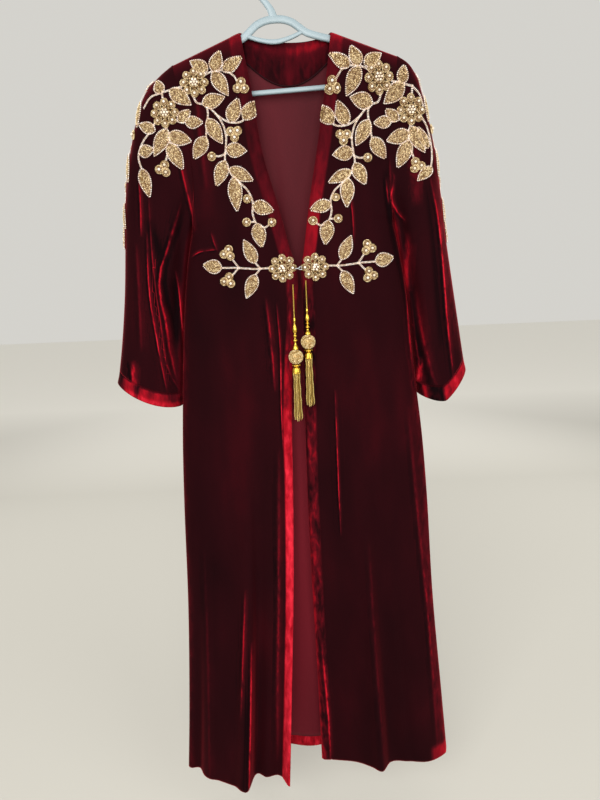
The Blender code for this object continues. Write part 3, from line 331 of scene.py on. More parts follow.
@dataclass(frozen=True)
class Velvet(Finish):
    """Silk velvet whose base colour carries painted sheen: painted highlights where the cloth folds or
    turns, and painted shade in its troughs.

    The mesh carries glow, painted sheen where it is positive and painted shade where
    it is negative, and crush, how blotchy the crushed pile is. In each of its channels it carries off,
    the signed distance to a fold's crest over the crest's width, and lay, how bright the painted
    highlight along that crest is.
    """

    stops: Tuple[Tuple[float, str], ...] = ((0.0, "0d0305"), (0.15, "210509"), (0.36, "470811"),
                                            (0.66, "920d1b"), (1.0, "d4283a"))
    sheen: Colour = (1.0, 0.05, 0.08)
    at_rest: float = 0.13
    clouded: float = 0.24
    blotched: float = 1.7
    napped: float = 0.12

    def wire(self, kit: ShaderKit) -> None:
        """Set the shader's inputs."""
        cloud = kit.noise(9.0, 2.0, (1.6, 1.0, 0.5))
        blotch = kit.noise(90.0, 4.0, (1.2, 1.0, 0.42), 0.4)
        nap = kit.noise(1400.0, 1.0)
        crush = kit.attribute("crush")
        # Level of the base colour: the painted sheen and painted shade the mesh carries, random cloudy tone
        # and crushed-pile mottling.
        level = kit.attribute("glow") + (cloud - 0.5) * self.clouded
        level = level + crush * (blotch - 0.5) * self.blotched + self.at_rest
        # This gain breaks the painted crest highlights into patches.
        painted_sheen_gain = ((blotch - 0.5) * 3.4 + 0.85).clamped() * 1.2
        ragged = (kit.noise(260.0, 2.0, (1.0, 1.0, 0.5)) - 0.5) * 1.3
        for channel in range(PILE_CHANNELS):
            off = kit.attribute(f"off{channel}") + ragged
            # Painted highlight on each crest, painted shade on one side of it and a faint painted sheen on
            # the other.
            crest_highlight_and_shade = off.bell() + ((off + 2.4) * 0.5).bell() * 0.20 - ((off - 2.6) * 0.6).bell() * 0.40
            level = level + kit.attribute(f"lay{channel}") * painted_sheen_gain * crest_highlight_and_shade
        level = (level + (nap - 0.5) * self.napped).clamped()
        height = blotch * crush + nap * self.napped
        kit.principled(Base_Color=kit.ramp(level, [(at, tone(code)) for at, code in self.stops]),
                       Roughness=0.85, Specular_IOR_Level=0.03, Sheen_Weight=0.25, Sheen_Roughness=0.35,
                       Sheen_Tint=self.sheen, Normal=kit.bump(height, 0.0012, 0.7))


@dataclass(frozen=True)
class Satin(TwoTone):
    """Smooth maroon lining with a faint weave and painted light: lightest half way down, and fading more
    slowly below.
    """

    dark: str = "20070c"
    light: str = "972736"
    lightest_z: float = -0.82
    lower_z: float = -1.05

    def wire(self, kit: ShaderKit) -> None:
        """Set the shader's inputs."""
        cloud = kit.noise(7.0, 2.0, (1.5, 1.0, 0.4))
        weave = kit.noise(900.0, 1.0, (1.0, 1.0, 0.25))
        height = kit.node("ShaderNodeSeparateXYZ", {}, {0: kit.place()}, output="Z")
        # Painted light by height: brightest round lightest_z, with a second painted brightening round
        # lower_z.
        lit = ((height - self.lightest_z) * 3.2).bell() * 0.30
        lit = lit + ((height - self.lower_z) * 1.9).bell() * 0.33 + cloud * 0.20 + weave * 0.08
        kit.principled(Base_Color=self.blend(kit, lit.clamped()), Roughness=0.50, Specular_IOR_Level=0.06,
                       Normal=kit.bump(weave, 0.0003, 0.4))


@dataclass(frozen=True)
class Beads(TwoTone):
    """Glass or metal beads that differ a little: the mesh carries each bead's own tint."""

    metallic: float = 0.5
    roughness: float = 0.28

    def wire(self, kit: ShaderKit) -> None:
        """Set the shader's inputs."""
        tint = kit.attribute("tint")
        grain = kit.noise(700.0, 2.0)
        colour = self.blend(kit, (tint + (grain - 0.5) * 0.35).clamped())
        kit.principled(Base_Color=colour, Roughness=(self.roughness + (grain - 0.5) * 0.2).clamped(),
                       Metallic=self.metallic)


@dataclass(frozen=True)
class Thread(TwoTone):
    """Twisted metallic thread: turns of light and dark that climb round the cord by its own UV map."""

    dark: str = "8a6a1c"
    light: str = "e8c860"
    turns: float = 520.0

    def wire(self, kit: ShaderKit) -> None:
        """Set the shader's inputs."""
        place = kit.node("ShaderNodeSeparateXYZ", {}, {0: kit.node("ShaderNodeUVMap", {"uv_map": "UVMap"})})
        down = Value(kit, place.socket.node.outputs[1])
        twist = ((place + down * self.turns) * (2 * math.pi)).sine() * 0.5 + 0.5
        kit.principled(Base_Color=self.blend(kit, twist), Metallic=0.75, Roughness=0.34,
                       Normal=kit.bump(twist, 0.0004, 0.8))


@dataclass(frozen=True)
class Plastic(TwoTone):
    """Moulded plastic with faint flow marks and a fine rub."""

    dark: str = "7b8c93"
    light: str = "9cadb5"

    def wire(self, kit: ShaderKit) -> None:
        """Set the shader's inputs."""
        flow = kit.noise(22.0, 3.0, (0.5, 1.0, 1.6), 0.4)
        rub_and_sheen = kit.noise(320.0, 2.0)
        kit.principled(Base_Color=self.blend(kit, flow), Roughness=0.30 + rub_and_sheen * 0.18,
                       Specular_IOR_Level=0.5, Normal=kit.bump(rub_and_sheen, 0.0003, 0.25))


@dataclass(frozen=True)
class Metal(TwoTone):
    """Plated wire or turned gold, with fine scratches."""

    roughness: float = 0.22

    def wire(self, kit: ShaderKit) -> None:
        """Set the shader's inputs."""
        wear = kit.noise(260.0, 3.0)
        kit.principled(Base_Color=self.blend(kit, wear), Metallic=1.0,
                       Roughness=(self.roughness + (wear - 0.5) * 0.25).clamped(),
                       Normal=kit.bump(wear, 0.0004, 0.3))


@dataclass(frozen=True)
class Plain(TwoTone):
    """The studio floor, paler beyond the reach of the lamps so that it looks evenly lit."""

    dark: str = "bab8b1"
    light: str = "f6f4ee"
    lamps_end: float = 1.9
    fade: float = 2.0

    def wire(self, kit: ShaderKit) -> None:
        """Set the shader's inputs."""
        back = kit.node("ShaderNodeSeparateXYZ", {}, {0: kit.place()}, output="Y")
        beyond = ((back - self.lamps_end) * (1 / self.fade)).clamped()
        kit.principled(Base_Color=self.blend(kit, beyond), Roughness=0.9, Specular_IOR_Level=0.1)


# Meshes

def linked(name: str, data: bpy.types.ID) -> bpy.types.Object:
    """A new object in the scene."""
    made = bpy.data.objects.new(name, data)
    bpy.context.scene.collection.objects.link(made)
    return made


@dataclass
class Mesh:
    """Points, faces of one size, and what each point carries, before it becomes an object."""

    points: Array
    faces: Array
    slots: Optional[Array] = None
    marks: Marks = field(default_factory=dict)
    uv: Optional[Array] = None

    @staticmethod
    def joined(parts: Sequence["Mesh"]) -> "Mesh":
        """Several meshes as one."""
        starts = np.cumsum([0] + [len(part.points) for part in parts[:-1]])
        slots = [np.zeros(len(part.faces), int) if part.slots is None else part.slots for part in parts]
        marks = {name: np.concatenate([part.marks[name] for part in parts]) for name in parts[0].marks}
        return Mesh(np.concatenate([part.points for part in parts]),
                    np.concatenate([part.faces + start for part, start in zip(parts, starts)]),
                    np.concatenate(slots), marks)

    def piece(self, name: str, materials: Sequence[Material]) -> bpy.types.Object:
        """Make the object, with its place in its mesh.

        Args:
            name: The piece's name.
            materials: Its materials, in the order of its slots.

        Returns:
            The object, smooth shaded, riding on the one body.
        """
        mesh = bpy.data.meshes.new(name)
        corners = self.faces.shape[1]
        mesh.vertices.add(len(self.points))
        mesh.vertices.foreach_set("co", self.points.astype(np.float32).ravel())
        mesh.loops.add(self.faces.size)
        mesh.loops.foreach_set("vertex_index", self.faces.astype(np.int32).ravel())
        mesh.polygons.add(len(self.faces))
        mesh.polygons.foreach_set("loop_start", np.arange(0, self.faces.size, corners, dtype=np.int32))
        if self.slots is not None:
            mesh.polygons.foreach_set("material_index", self.slots.astype(np.int32))
        for mark, values in self.marks.items():
            mesh.attributes.new(mark, "FLOAT", "POINT").data.foreach_set("value", values.astype(np.float32))
        if self.uv is not None:
            layer = mesh.uv_layers.new(name="UVMap")
            layer.data.foreach_set("uv", self.uv[self.faces.ravel()].astype(np.float32).ravel())
        mesh.update(calc_edges=True)
        mesh.shade_smooth()
        for material in materials:
            mesh.materials.append(material)
        made = linked(name, mesh)
        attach(made, "root")
        log.info("%s: %d faces", name, len(self.faces))
        return made


def grid_index(rows: int, columns: int, wrap: bool) -> Array:
    """Numbers of a grid's points, row by row; wrap repeats the first column after the last."""
    index = np.arange(rows * columns).reshape(rows, columns)
    return np.hstack((index, index[:, :1])) if wrap else index


def grid_faces(rows: int, columns: int, wrap: bool) -> Array:
    """Squares of a grid of points; wrap joins its last column to the first."""
    index = grid_index(rows, columns, wrap)
    return np.stack((index[:-1, :-1], index[:-1, 1:], index[1:, 1:], index[1:, :-1]), -1).reshape(-1, 4)


def grid_normals(points: Array, wrap: bool, outward: Array) -> Array:
    """Unit normals of a grid, from the cross product of its two runs, turned to agree with outward."""
    if wrap:
        across = np.roll(points, -1, axis=1) - np.roll(points, 1, axis=1)
    else:
        across = np.gradient(points, axis=1)
    normal = unit(np.cross(across, np.gradient(points, axis=0)))
    return normal * np.sign((normal * outward).sum(axis=-1).mean())


def wall(outer: Array, inner: Array, wrap: bool, marks: Optional[Marks] = None,
         inside: Optional[Dict[str, Union[float, Array]]] = None) -> Mesh:
    """A closed wall between two grids, its rims joined and its faces turned outwards.

    Args:
        outer: Grid of outer points.
        inner: The same grid moved in.
        wrap: Whether the columns close round a tube.
        marks: What the outer points carry.
        inside: What the inner points carry, where it isn't 0.

    Returns:
        The mesh; slot 0 is outside and on the rims, slot 1 inside.
    """
    rows, columns = outer.shape[:2]
    skin = grid_faces(rows, columns, wrap)
    total = rows * columns
    index = grid_index(rows, columns, wrap)
    borders = [index[0], index[-1][::-1]]
    if not wrap:
        borders += [index[:, 0][::-1], index[:, -1]]
    rims = [np.stack((edge[1:], edge[:-1], edge[:-1] + total, edge[1:] + total), -1) for edge in borders]
    faces = np.concatenate([skin, skin[:, ::-1] + total] + rims)
    slots = np.concatenate([np.zeros(len(skin), int), np.ones(len(skin), int),
                            np.zeros(sum(map(len, rims)), int)])
    a, b, c = (outer.reshape(-1, 3)[skin[:, corner]] for corner in (0, 1, 2))
    out = (outer - inner).reshape(-1, 3)[skin[:, 0]]
    if (np.cross(b - a, c - a) * out).sum() < 0:
        faces = faces[:, ::-1]
    points = np.concatenate((outer.reshape(-1, 3), inner.reshape(-1, 3)))
    marks, inside = marks or {}, inside or {}
    within = {name: np.broadcast_to(inside.get(name, 0.0), one.shape) for name, one in marks.items()}
    carried = {name: np.concatenate((one.ravel(), within[name].ravel())) for name, one in marks.items()}
    return Mesh(points, faces, slots, carried)


def tube(path: Array, radius: Union[float, Array], sides: int, level: Sequence[float],
         flat: Union[float, Array] = 1.0, square: float = 2.0, ring: bool = False) -> Mesh:
    """A bar carried along a path, closed by a fan of squares at its ends or joined into a ring.

    Each ring is a superellipse of the power square, flat times as deep along level as it is wide.

    Args:
        path: The centres of the rings, one a row.
        radius: Half width, one number or one for each ring.
        sides: Points round a ring.
        level: A direction that the path never runs along.
        flat: Depth over width.
        square: Power of the ring's outline; 2 is round.
        ring: Whether the path comes back to its start.

    Returns:
        The tube with its UV: turn round it, and metres along it.
    """
    run = np.roll(path, -1, axis=0) - np.roll(path, 1, axis=0) if ring else np.gradient(path, axis=0)
    run = unit(run)
    side = unit(np.cross(run, np.array(level, dtype=float)))
    up = np.cross(side, run)
    turn = turns(sides)
    cos, sin = np.cos(turn), np.sin(turn)
    wide = np.sign(cos) * np.abs(cos) ** (2 / square)
    deep = np.sign(sin) * np.abs(sin) ** (2 / square)
    radius = np.broadcast_to(radius, len(path))[:, None, None]
    flat = np.broadcast_to(flat, len(path))[:, None, None]
    section = side[:, None] * wide[None, :, None] + flat * up[:, None] * deep[None, :, None]
    rings = path[:, None] + radius * section
    if ring:
        faces = grid_faces(len(rings) + 1, sides, True) % (len(rings) * sides)
        return Mesh(rings.reshape(-1, 3), faces[:, ::-1])
    ends = np.broadcast_to(path[[0, -1], None], (2, sides, 3))
    rings = np.concatenate((ends[:1], rings, ends[1:]))
    chord = travelled(np.concatenate((path[:1], path, path[-1:])))
    uv = np.stack(np.broadcast_arrays(turn[None] / (2 * np.pi), chord[:, None]), -1).reshape(-1, 2)
    faces = grid_faces(len(rings), sides, True)
    return Mesh(rings.reshape(-1, 3), faces[:, ::-1], uv=uv)


def turned(profile: Array, centre: Sequence[float], sides: int, lobes: int = 0, depth: float = 0.0) -> Mesh:
    """A turned shape: rows of (radius, distance down), the radius swelling in lobes if any."""
    turn = turns(sides)
    radius = profile[:, :1] * (1 + depth * np.cos(lobes * turn)[None])
    down = np.broadcast_to(profile[:, 1:], radius.shape)
    x, y, z = centre
    rings = np.stack((x + radius * np.cos(turn), y + radius * np.sin(turn), z - down), -1)
    return Mesh(rings.reshape(-1, 3), grid_faces(len(profile), sides, True)[:, ::-1])


def ball(steps: int) -> Tuple[Array, Array]:
    """A unit ball: an icosahedron whose faces are cut in four a number of times.

    Args:
        steps: 0 gives 20 faces, 1 gives 80, 2 gives 320.

    Returns:
        Its points and its triangles.
    """
    golden = (1 + 5 ** 0.5) / 2
    points = np.array([(-1, golden, 0), (1, golden, 0), (-1, -golden, 0), (1, -golden, 0), (0, -1, golden),
                       (0, 1, golden), (0, -1, -golden), (0, 1, -golden), (golden, 0, -1), (golden, 0, 1),
                       (-golden, 0, -1), (-golden, 0, 1)])
    faces = np.array([(0, 11, 5), (0, 5, 1), (0, 1, 7), (0, 7, 10), (0, 10, 11), (1, 5, 9), (5, 11, 4),
                      (11, 10, 2), (10, 7, 6), (7, 1, 8), (3, 9, 4), (3, 4, 2), (3, 2, 6), (3, 6, 8),
                      (3, 8, 9), (4, 9, 5), (2, 4, 11), (6, 2, 10), (8, 6, 7), (9, 8, 1)])
    for _ in range(steps):
        edges = np.sort(np.concatenate((faces[:, [0, 1]], faces[:, [1, 2]], faces[:, [2, 0]])), axis=1)
        pairs, number = np.unique(edges, axis=0, return_inverse=True)
        ab, bc, ca = (number.reshape(-1).reshape(3, -1) + len(points))
        a, b, c = faces.T
        points = np.concatenate((points, points[pairs].mean(axis=1)))
        parts = (a, ab, ca), (ab, b, bc), (ca, bc, c), (ab, bc, ca)
        faces = np.concatenate([np.stack(part, -1) for part in parts])
    return unit(points), faces


def string(centres: Array, radii: Array, tints: Array, steps: int = 0) -> Mesh:
    """Balls at many places as one mesh, each carrying its tint."""
    points, faces = ball(steps)
    placed = centres[:, None] + points[None] * radii[:, None, None]
    starts = np.arange(len(centres))[:, None, None] * len(points)
    return Mesh(placed.reshape(-1, 3), (faces[None] + starts).reshape(-1, 3),
                marks={"tint": np.repeat(tints, len(points))})


# The garment's form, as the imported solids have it, with finer folds

FORWARD = np.array((0.0, -1.0, 0.0))
CENTRE_X = 0.020
NECK_Z = -0.084
HEM_DROP = 1.415
SHOULDER_DROP = 0.043
UNDERARM_DROP = 0.310
NECK_DROP = {Side.LEFT: -0.003, Side.RIGHT: 0.002}
CLOTH = 0.0016
RING_POWER = 2.2
DIP_POWER = {Side.LEFT: 2.0, Side.RIGHT: 1.3}
CAP_RINGS = 5.0
BAND_RING = 10
RINGS = 11


def spread(across: Array, depth: Array, drop: Array) -> Array:
    """World points of garment places and their depth towards -Y."""
    return np.stack(np.broadcast_arrays(CENTRE_X + across, -depth, NECK_Z - drop), axis=-1)


@dataclass(frozen=True)
class Fold:
    """One soft ridge or trough along a smooth line on the garment, with a thin painted highlight along its
    crest.

    Its height is lift times exp(-(distance / half_width) squared), faded in and out along it. A
    ridge carries a soft painted sheen and its crest a painted highlight crisp times as wide as the
    ridge. A negative glow paints shade over the whole trough.
    """

    line: Array
    half_width: float
    lift: float = 0.0
    glow: float = 0.0
    crisp: float = 0.32

    def near(self, across: Array, drop: Array) -> Tuple[Array, Array]:
        """Where each place lies beside the fold.

        Args:
            across: Places' distance right of the centre line.
            drop: Places' distance below the neck point.

        Returns:
            The signed distance to its line, and the share of it at that length; 1 m and 0 far off.
        """
        path, run = along(self.line, min(0.03, float(np.linalg.norm(self.line[-1] - self.line[0])) / 8))
        reach = max(3.0 * self.half_width, PILE_REACH)
        low, high = path.min(axis=0) - reach, path.max(axis=0) + reach
        close = (across > low[0]) & (across < high[0]) & (drop > low[1]) & (drop < high[1])
        spot = np.stack((across[close], drop[close]), axis=-1)
        best, share, side = np.full(len(spot), 1e9), np.zeros(len(spot)), np.ones(len(spot))
        for start, step, begun, length in zip(path, np.diff(path, axis=0), run, np.diff(run)):
            away = spot - start
            t = np.clip((away @ step) / (step @ step), 0, 1)
            off = ((away - t[:, None] * step) ** 2).sum(axis=-1)
            side = np.where(off < best, np.where(step[0] * away[:, 1] > step[1] * away[:, 0], 1, -1), side)
            share = np.where(off < best, (begun + length * t) / run[-1], share)
            best = np.minimum(best, off)
        distance, faded = np.ones(across.shape), np.zeros(across.shape)
        distance[close] = np.sqrt(best) * side
        faded[close] = np.clip(4.5 * share * (1 - share), 0, 1) ** 0.7
        return distance, faded


def folds_of(*rows: Tuple) -> Tuple[Fold, ...]:
    """Folds from rows of (line, half width, lift, painted sheen and shade, crisp), the lengths in
    millimetres; a negative fourth number is painted shade.
    """
    return tuple(Fold(np.array(line) / 1000, half_width / 1000, lift / 1000, *looks)
                 for line, half_width, lift, *looks in rows)


FRONT_FOLDS = folds_of(
    # Left sleeve
    (((-181, 250), (-198, 304), (-209, 328), (-224, 364), (-231, 403), (-225, 455),
      (-221, 520)), 4.2, -5, -0.2),
    (((-187, 262), (-205, 306), (-217, 338), (-232, 372), (-239, 410), (-234, 462), (-232, 530),
      (-226, 580)), 5, 3, 0.46),
    (((-241, 240), (-245, 326), (-245, 407), (-242, 480), (-237, 561), (-222, 600)), 3.6, 2.4, 0.3),
    (((-257, 220), (-258, 269), (-262, 320)), 4, 1.2, 0.42),
    (((-251, 312), (-257, 411), (-252, 500), (-243, 600)), 3.4, 1.2, 0.5),
    (((-247, 290), (-236, 335), (-224, 372)), 8, -2, -0.14),
    (((-211, 378), (-209, 429), (-210, 499), (-213, 575)), 3.4, 1.6, 0.5),
    (((-216, 392), (-216, 440), (-219, 512)), 4, -3, -0.2),
    (((-272, 330), (-276, 420), (-282, 520)), 7, 1, 0.16),
    (((-186, 180), (-182, 220), (-175, 268), (-171, 318)), 4.8, 1, 0.34),
    (((-301, 536), (-301, 560), (-303, 600)), 5, 0.4, 0.55, 0.8),
    # Left front
    (((-180, 358), (-168, 351), (-154, 348), (-132, 347)), 3, 1, 0.44),
    (((-141, 318), (-137, 334), (-131, 350)), 3.4, 0.6, 0.26),
    (((-150, 90), (-148, 160), (-143, 250)), 9, 1, 0.12),
    (((-52, 430), (-46, 520), (-44, 600)), 6, 1.4, 0.32),
    (((-34, 440), (-31, 520), (-34, 616), (-35, 711)), 2.8, 1.6, 0.55),
    (((-42, 700), (-50, 860), (-58, 1019), (-68, 1180), (-78, 1380)), 8.5, 1.8, 0.22),
    (((-114, 1090), (-124, 1245), (-140, 1460)), 4.8, 3, 0.55),
    (((-120, 980), (-133, 1128), (-145, 1260)), 5.2, 2.4, 0.36),
    (((-128, 1180), (-136, 1300), (-150, 1430)), 4, -2.2, -0.1),
    (((-196, 900), (-204, 1100), (-222, 1430)), 9, 3, 0.1),
    # Right front
    (((64, 600), (65, 720), (66, 815), (68, 890)), 3, 1.6, 0.5),
    (((23, 1120), (27, 1205), (31, 1288), (34, 1430)), 5.5, 1.6, 0.34),
    (((98, 250), (103, 300), (104, 350)), 3, 1, 0.34),
    (((200, 640), (209, 760), (222, 900), (240, 1080), (262, 1400)), 8.5, 1.6, 0.2),
    (((120, 900), (128, 1100), (146, 1430)), 9, 2.6, 0.12),
    (((176, 1000), (188, 1200), (205, 1430)), 7.5, -2.2, 0),
    # Right sleeve
    (((160, 225), (163, 277), (175, 343), (191, 420), (196, 470)), 3.4, -4, -0.2),
    (((168, 205), (171, 262), (184, 335), (197, 420), (204, 520), (214, 610)), 5, 3, 0.36),
    (((162, 240), (164, 262), (167, 284)), 4, 0.8, 0.4),
    (((176, 236), (174, 254), (169, 276)), 3.6, 0.8, 0.3),
    (((171, 276), (183, 296), (197, 313)), 3.6, 1.4, 0.38),
    (((200, 330), (201, 360), (200, 390), (200, 430)), 6, 1.4, 0.3, 0.6),
    (((225, 552), (223, 579), (220, 612)), 4.6, 0.4, 0.48, 0.8),
    (((203, 421), (213, 502), (224, 560), (238, 606)), 8.5, -1, -0.2),
    (((214, 430), (226, 512), (240, 576), (252, 612)), 4.4, 1.4, 0.24, 0.6),
    (((248, 180), (258, 280), (273, 400), (290, 545)), 9, 0, 0.17, 1.2),
    (((206, 190), (210, 230), (212, 290)), 10, 0, 0.16, 1),
    (((236, 240), (252, 320), (262, 420), (268, 490), (277, 560), (282, 600)), 5, 3, 0.5),
    (((226, 240), (238, 320), (248, 430), (258, 540)), 5, -2, -0.12),
    (((208, 440), (216, 520), (228, 600)), 5, 1.2, 0.22),
)

BACK_FOLDS = folds_of(
    (((-205, 250), (-222, 330), (-232, 420), (-236, 560)), 6, 2.8, 0.45),
    (((-250, 230), (-258, 360), (-262, 520)), 5.5, 2, 0.35),
    (((190, 250), (206, 340), (222, 460), (236, 580)), 6, 2.8, 0.45),
    (((226, 220), (240, 340), (254, 520)), 5.5, 2, 0.35),
    (((-160, 170), (-142, 260), (-128, 400), (-122, 560)), 8.5, 3, 0.3),
    (((160, 170), (144, 260), (132, 400), (128, 560)), 8.5, 3, 0.3),
    (((-30, 120), (-26, 300), (-20, 560)), 12, 1.6, 0.16),
    (((-180, 700), (-196, 1000), (-214, 1430)), 10, 3.6, 0.34),
    (((-70, 680), (-76, 1000), (-82, 1430)), 11, 3.6, 0.36),
    (((50, 640), (60, 1000), (72, 1430)), 10, 3.6, 0.34),
    (((170, 700), (188, 1000), (208, 1430)), 11, 3.6, 0.38),
    (((-122, 820), (-134, 1100), (-146, 1420)), 6, -2.4, 0),
    (((112, 800), (124, 1100), (138, 1420)), 6, -2.4, 0),
    (((-160, 352), (-110, 346), (-60, 350)), 3, 0.8, 0.2),
)


def channels(folds: Sequence[Fold]) -> List[int]:
    """A channel for each fold, the one whose folds so far lie farthest from it."""
    taken: List[List[Array]] = [[] for _ in range(PILE_CHANNELS)]
    chosen = []
    for fold in folds:
        path = along(fold.line, 0.01)[0]
        gaps = [min([1.0] + [np.linalg.norm(path[:, None] - other, axis=-1).min() for other in others])
                for others in taken]
        chosen.append(int(np.argmax(gaps)) if fold.glow > 0 else 0)
        if fold.glow > 0:
            taken[chosen[-1]].append(path)
    return chosen


def folded(folds: Sequence[Fold], across: Array, drop: Array) -> Tuple[Array, Marks]:
    """All folds together at each place.

    Args:
        folds: The folds of one face.
        across: Places' distance right of the centre line.
        drop: Places' distance below the neck point.

    Returns:
        How far the cloth stands out there, and what it carries for its pile: painted sheen and shade, and
        crest channels.
    """
    lift = np.zeros(across.shape)
    names = [name + str(channel) for name in ("off", "lay") for channel in range(PILE_CHANNELS)]
    marks = {name: np.zeros(across.shape) for name in (*names, "glow", "crush")}
    for fold, channel in zip(folds, channels(folds)):
        distance, faded = fold.near(across, drop)
        share = hump(distance, 0.0, fold.half_width) * faded
        lift += share * fold.lift
        # A trough gets painted shade.
        if fold.glow < 0:
            marks["glow"] += share * fold.glow
            continue
        # A ridge gets a soft painted sheen, and its crest a painted highlight in its channel.
        marks["glow"] += 0.22 * share * fold.glow
        width = fold.crisp * fold.half_width
        off, lay = marks[f"off{channel}"], marks[f"lay{channel}"]
        near = (np.abs(distance) < PILE_REACH) & (faded > 0)
        nearer = near & ((lay == 0) | (np.abs(distance) / width < np.abs(off)))
        off[nearer] = distance[nearer] / width
        lay[nearer] = faded[nearer] * fold.glow
    return lift, marks


@dataclass
class Form:
    """The shapes of the panels, as functions of two numbers each."""

    front_edge: ClassVar[Table] = lengths(
        "drop left right",
        (-3, -74, 77), (100, -58, 62), (190, -46, 46), (280, -23, 29), (350, -6.5, 18), (390, 4.2, 11.2),
        (440, 2, 12), (540, -9, 10), (650, -16, 8), (800, -20, 7), (1000, -28, 9), (1215, -41, 13),
        (1415, -54, 15))
    side: ClassVar[Table] = lengths(
        "drop left right",
        (43, 190, 187), (100, 178, 176), (160, 169, 168), (240, 167, 167), (310, 178, 178),
        (360, 189.5, 188.5), (430, 201, 200.5), (580, 217.5, 216.5), (700, 228, 231), (820, 235, 241),
        (1040, 245, 254), (1280, 262, 275), (1415, 274, 287))
    depth: ClassVar[Table] = lengths(
        "below left right back",
        (0, 0, 0, 0), (50, 7, 7, 4), (100, 14, 14, 7), (200, 25, 25, 10), (390, 40, 38, 10),
        (650, 43, 38, 7), (1000, 51, 37, 3), (1420, 65, 34, 1))
    seam: ClassVar[Table] = lengths(
        "drop forward",
        (310, 0), (600, 4), (1415, 12))
    ridge_reach: float = 0.030
    ridge_front: float = 0.014
    ridge_back: float = 0.013
    side_rounding: float = 3.0
    neck_dip: float = 0.013
    neck_stand: float = 0.009
    neck_turn: float = 0.017
    fold_gain: float = 1.35
    hanging: ClassVar[Dict[str, Table]] = {
        "left": table(
            "across forward start",
            (0.00, 0.018, 0.95), (0.09, -0.008, 0.75), (0.22, -0.006, 0.70), (0.33, -0.010, 0.62),
            (0.38, 0.020, 0.62), (0.52, 0.012, 0.70), (0.66, 0.004, 0.80), (0.82, -0.004, 0.90),
            (0.87, -0.022, 0.90), (1.00, 0.000, 0.90)),
        "right": table(
            "across forward start",
            (0.00, -0.014, 0.60), (0.14, -0.010, 0.50), (0.28, -0.004, 0.50), (0.38, 0.007, 0.55),
            (0.46, 0.018, 0.60), (0.53, 0.000, 0.60), (0.68, 0.002, 0.80), (0.84, 0.010, 0.90),
            (1.00, 0.000, 0.90)),
        "back": table(
            "across forward start",
            (-1.00, 0.000, 0.90), (-0.78, 0.007, 0.70), (-0.56, -0.006, 0.60), (-0.30, 0.006, 0.75),
            (-0.05, -0.004, 0.60), (0.24, 0.007, 0.65), (0.50, -0.006, 0.70), (0.78, 0.006, 0.60),
            (1.00, 0.000, 0.90))}
    sleeve: ClassVar[Dict[str, Table]] = {
        "left": lengths(
            "outer outer_drop inner inner_drop front back dip",
            (190, 43, 178, 310, 36, 20, 0), (214, 60, 183.4, 322, 38, 21, 0),
            (238, 83, 186.9, 338, 40, 22, 0), (256, 118, 190.5, 355, 40, 22, 0),
            (271, 165, 194.3, 376, 40, 22, 0), (284, 217, 198.4, 400, 40, 22, 0),
            (294, 277, 202.8, 430, 39, 22, 0), (301, 345, 207.2, 464, 38, 21, 0),
            (310, 420, 211.7, 504, 37, 20, 0), (322, 495, 216.3, 550, 37, 20, 3),
            (334, 556, 221.6, 604, 38, 20, 9), (340, 578, 223.9, 628, 39, 21, 11)),
        "right": lengths(
            "outer outer_drop inner inner_drop front back dip",
            (187, 43, 178, 310, 36, 20, 0), (206, 56, 183.2, 322, 38, 21, 0),
            (220, 78, 186.3, 338, 40, 22, 0), (231, 112, 189.5, 355, 42, 23, 0),
            (243, 158, 193.3, 376, 43, 24, 0), (253, 208, 197.6, 400, 44, 24, 0),
            (262, 268, 202.3, 430, 44, 24, 0), (271, 337, 206.5, 464, 44, 23, 0),
            (283, 412, 210.7, 504, 44, 22, 2), (296, 490, 215.1, 550, 44, 22, 10),
            (307, 556, 220.7, 600, 45, 22, 26), (312, 578, 223.6, 623, 46, 22, 31))}
    crease: ClassVar[Table] = table(
        "ring place depth", (0, -0.70, 0.000), (2, -0.72, 0.007), (5, -0.80, 0.011), (8, -0.72, 0.009),
        (11, -0.85, 0.000))
    crease_half_width: float = 0.16
    sleeve_gap: float = 0.0006
    edge_band: float = 0.021
    edge_crown: float = 0.0011
    edge_trough: float = 0.0011
    trough_width: float = 0.0016
    edge_roll: float = 0.0030
    roll_width: float = 0.0026
    pucker_height: float = 0.00035
    cuff_crown: float = 0.0009
    cuff_seam: float = 0.0010

    def shoulder_round(self, below: Array) -> Array:
        """Quarter round that carries the cloth over the shoulder line: 0 on it, 1 at its reach."""
        return np.sqrt(np.clip(1 - (1 - np.clip(below / self.ridge_reach, 0, 1)) ** 2, 0, 1))

    def hanging_depth(self, name: str, across: Array, drop: Array) -> Array:
        """How far the hanging folds stand out: each grows from its start down to the hem."""
        folds = self.hanging[name]
        depth = np.zeros_like(drop)
        for one, forward, start in zip(np.eye(len(folds["across"])), folds["forward"], folds["start"]):
            depth += smooth(across, folds["across"], one) * forward * ease(drop, start, HEM_DROP + 0.15)
        return depth * self.fold_gain

    def armhole_depth(self, side: Side, face: str, drop: Array) -> Array:
        """Half depth of the armhole ring at a drop; none outside the armhole."""
        place = 1 - 2 * (drop - SHOULDER_DROP) / (UNDERARM_DROP - SHOULDER_DROP)
        return self.sleeve[side.value][face][0] * oval(np.clip(place, -1, 1), RING_POWER)

    def fall(self, across: Array, drop: Array) -> Array:
        """Share of a panel's own depth left on the way to its armhole or side seam."""
        to_side = ease(drop, 0.20, UNDERARM_DROP)
        return (1 - to_side) * (1 - across ** 2) + to_side * oval(across, self.side_rounding)

    @staticmethod
    def at_arm(drop: Array) -> Array:
        """Share of the fine folds kept along the armhole, none at the shoulder and underarm."""
        place = np.clip(1 - 2 * (drop - SHOULDER_DROP) / (UNDERARM_DROP - SHOULDER_DROP), -1, 1)
        return 1 - np.abs(place) ** 8

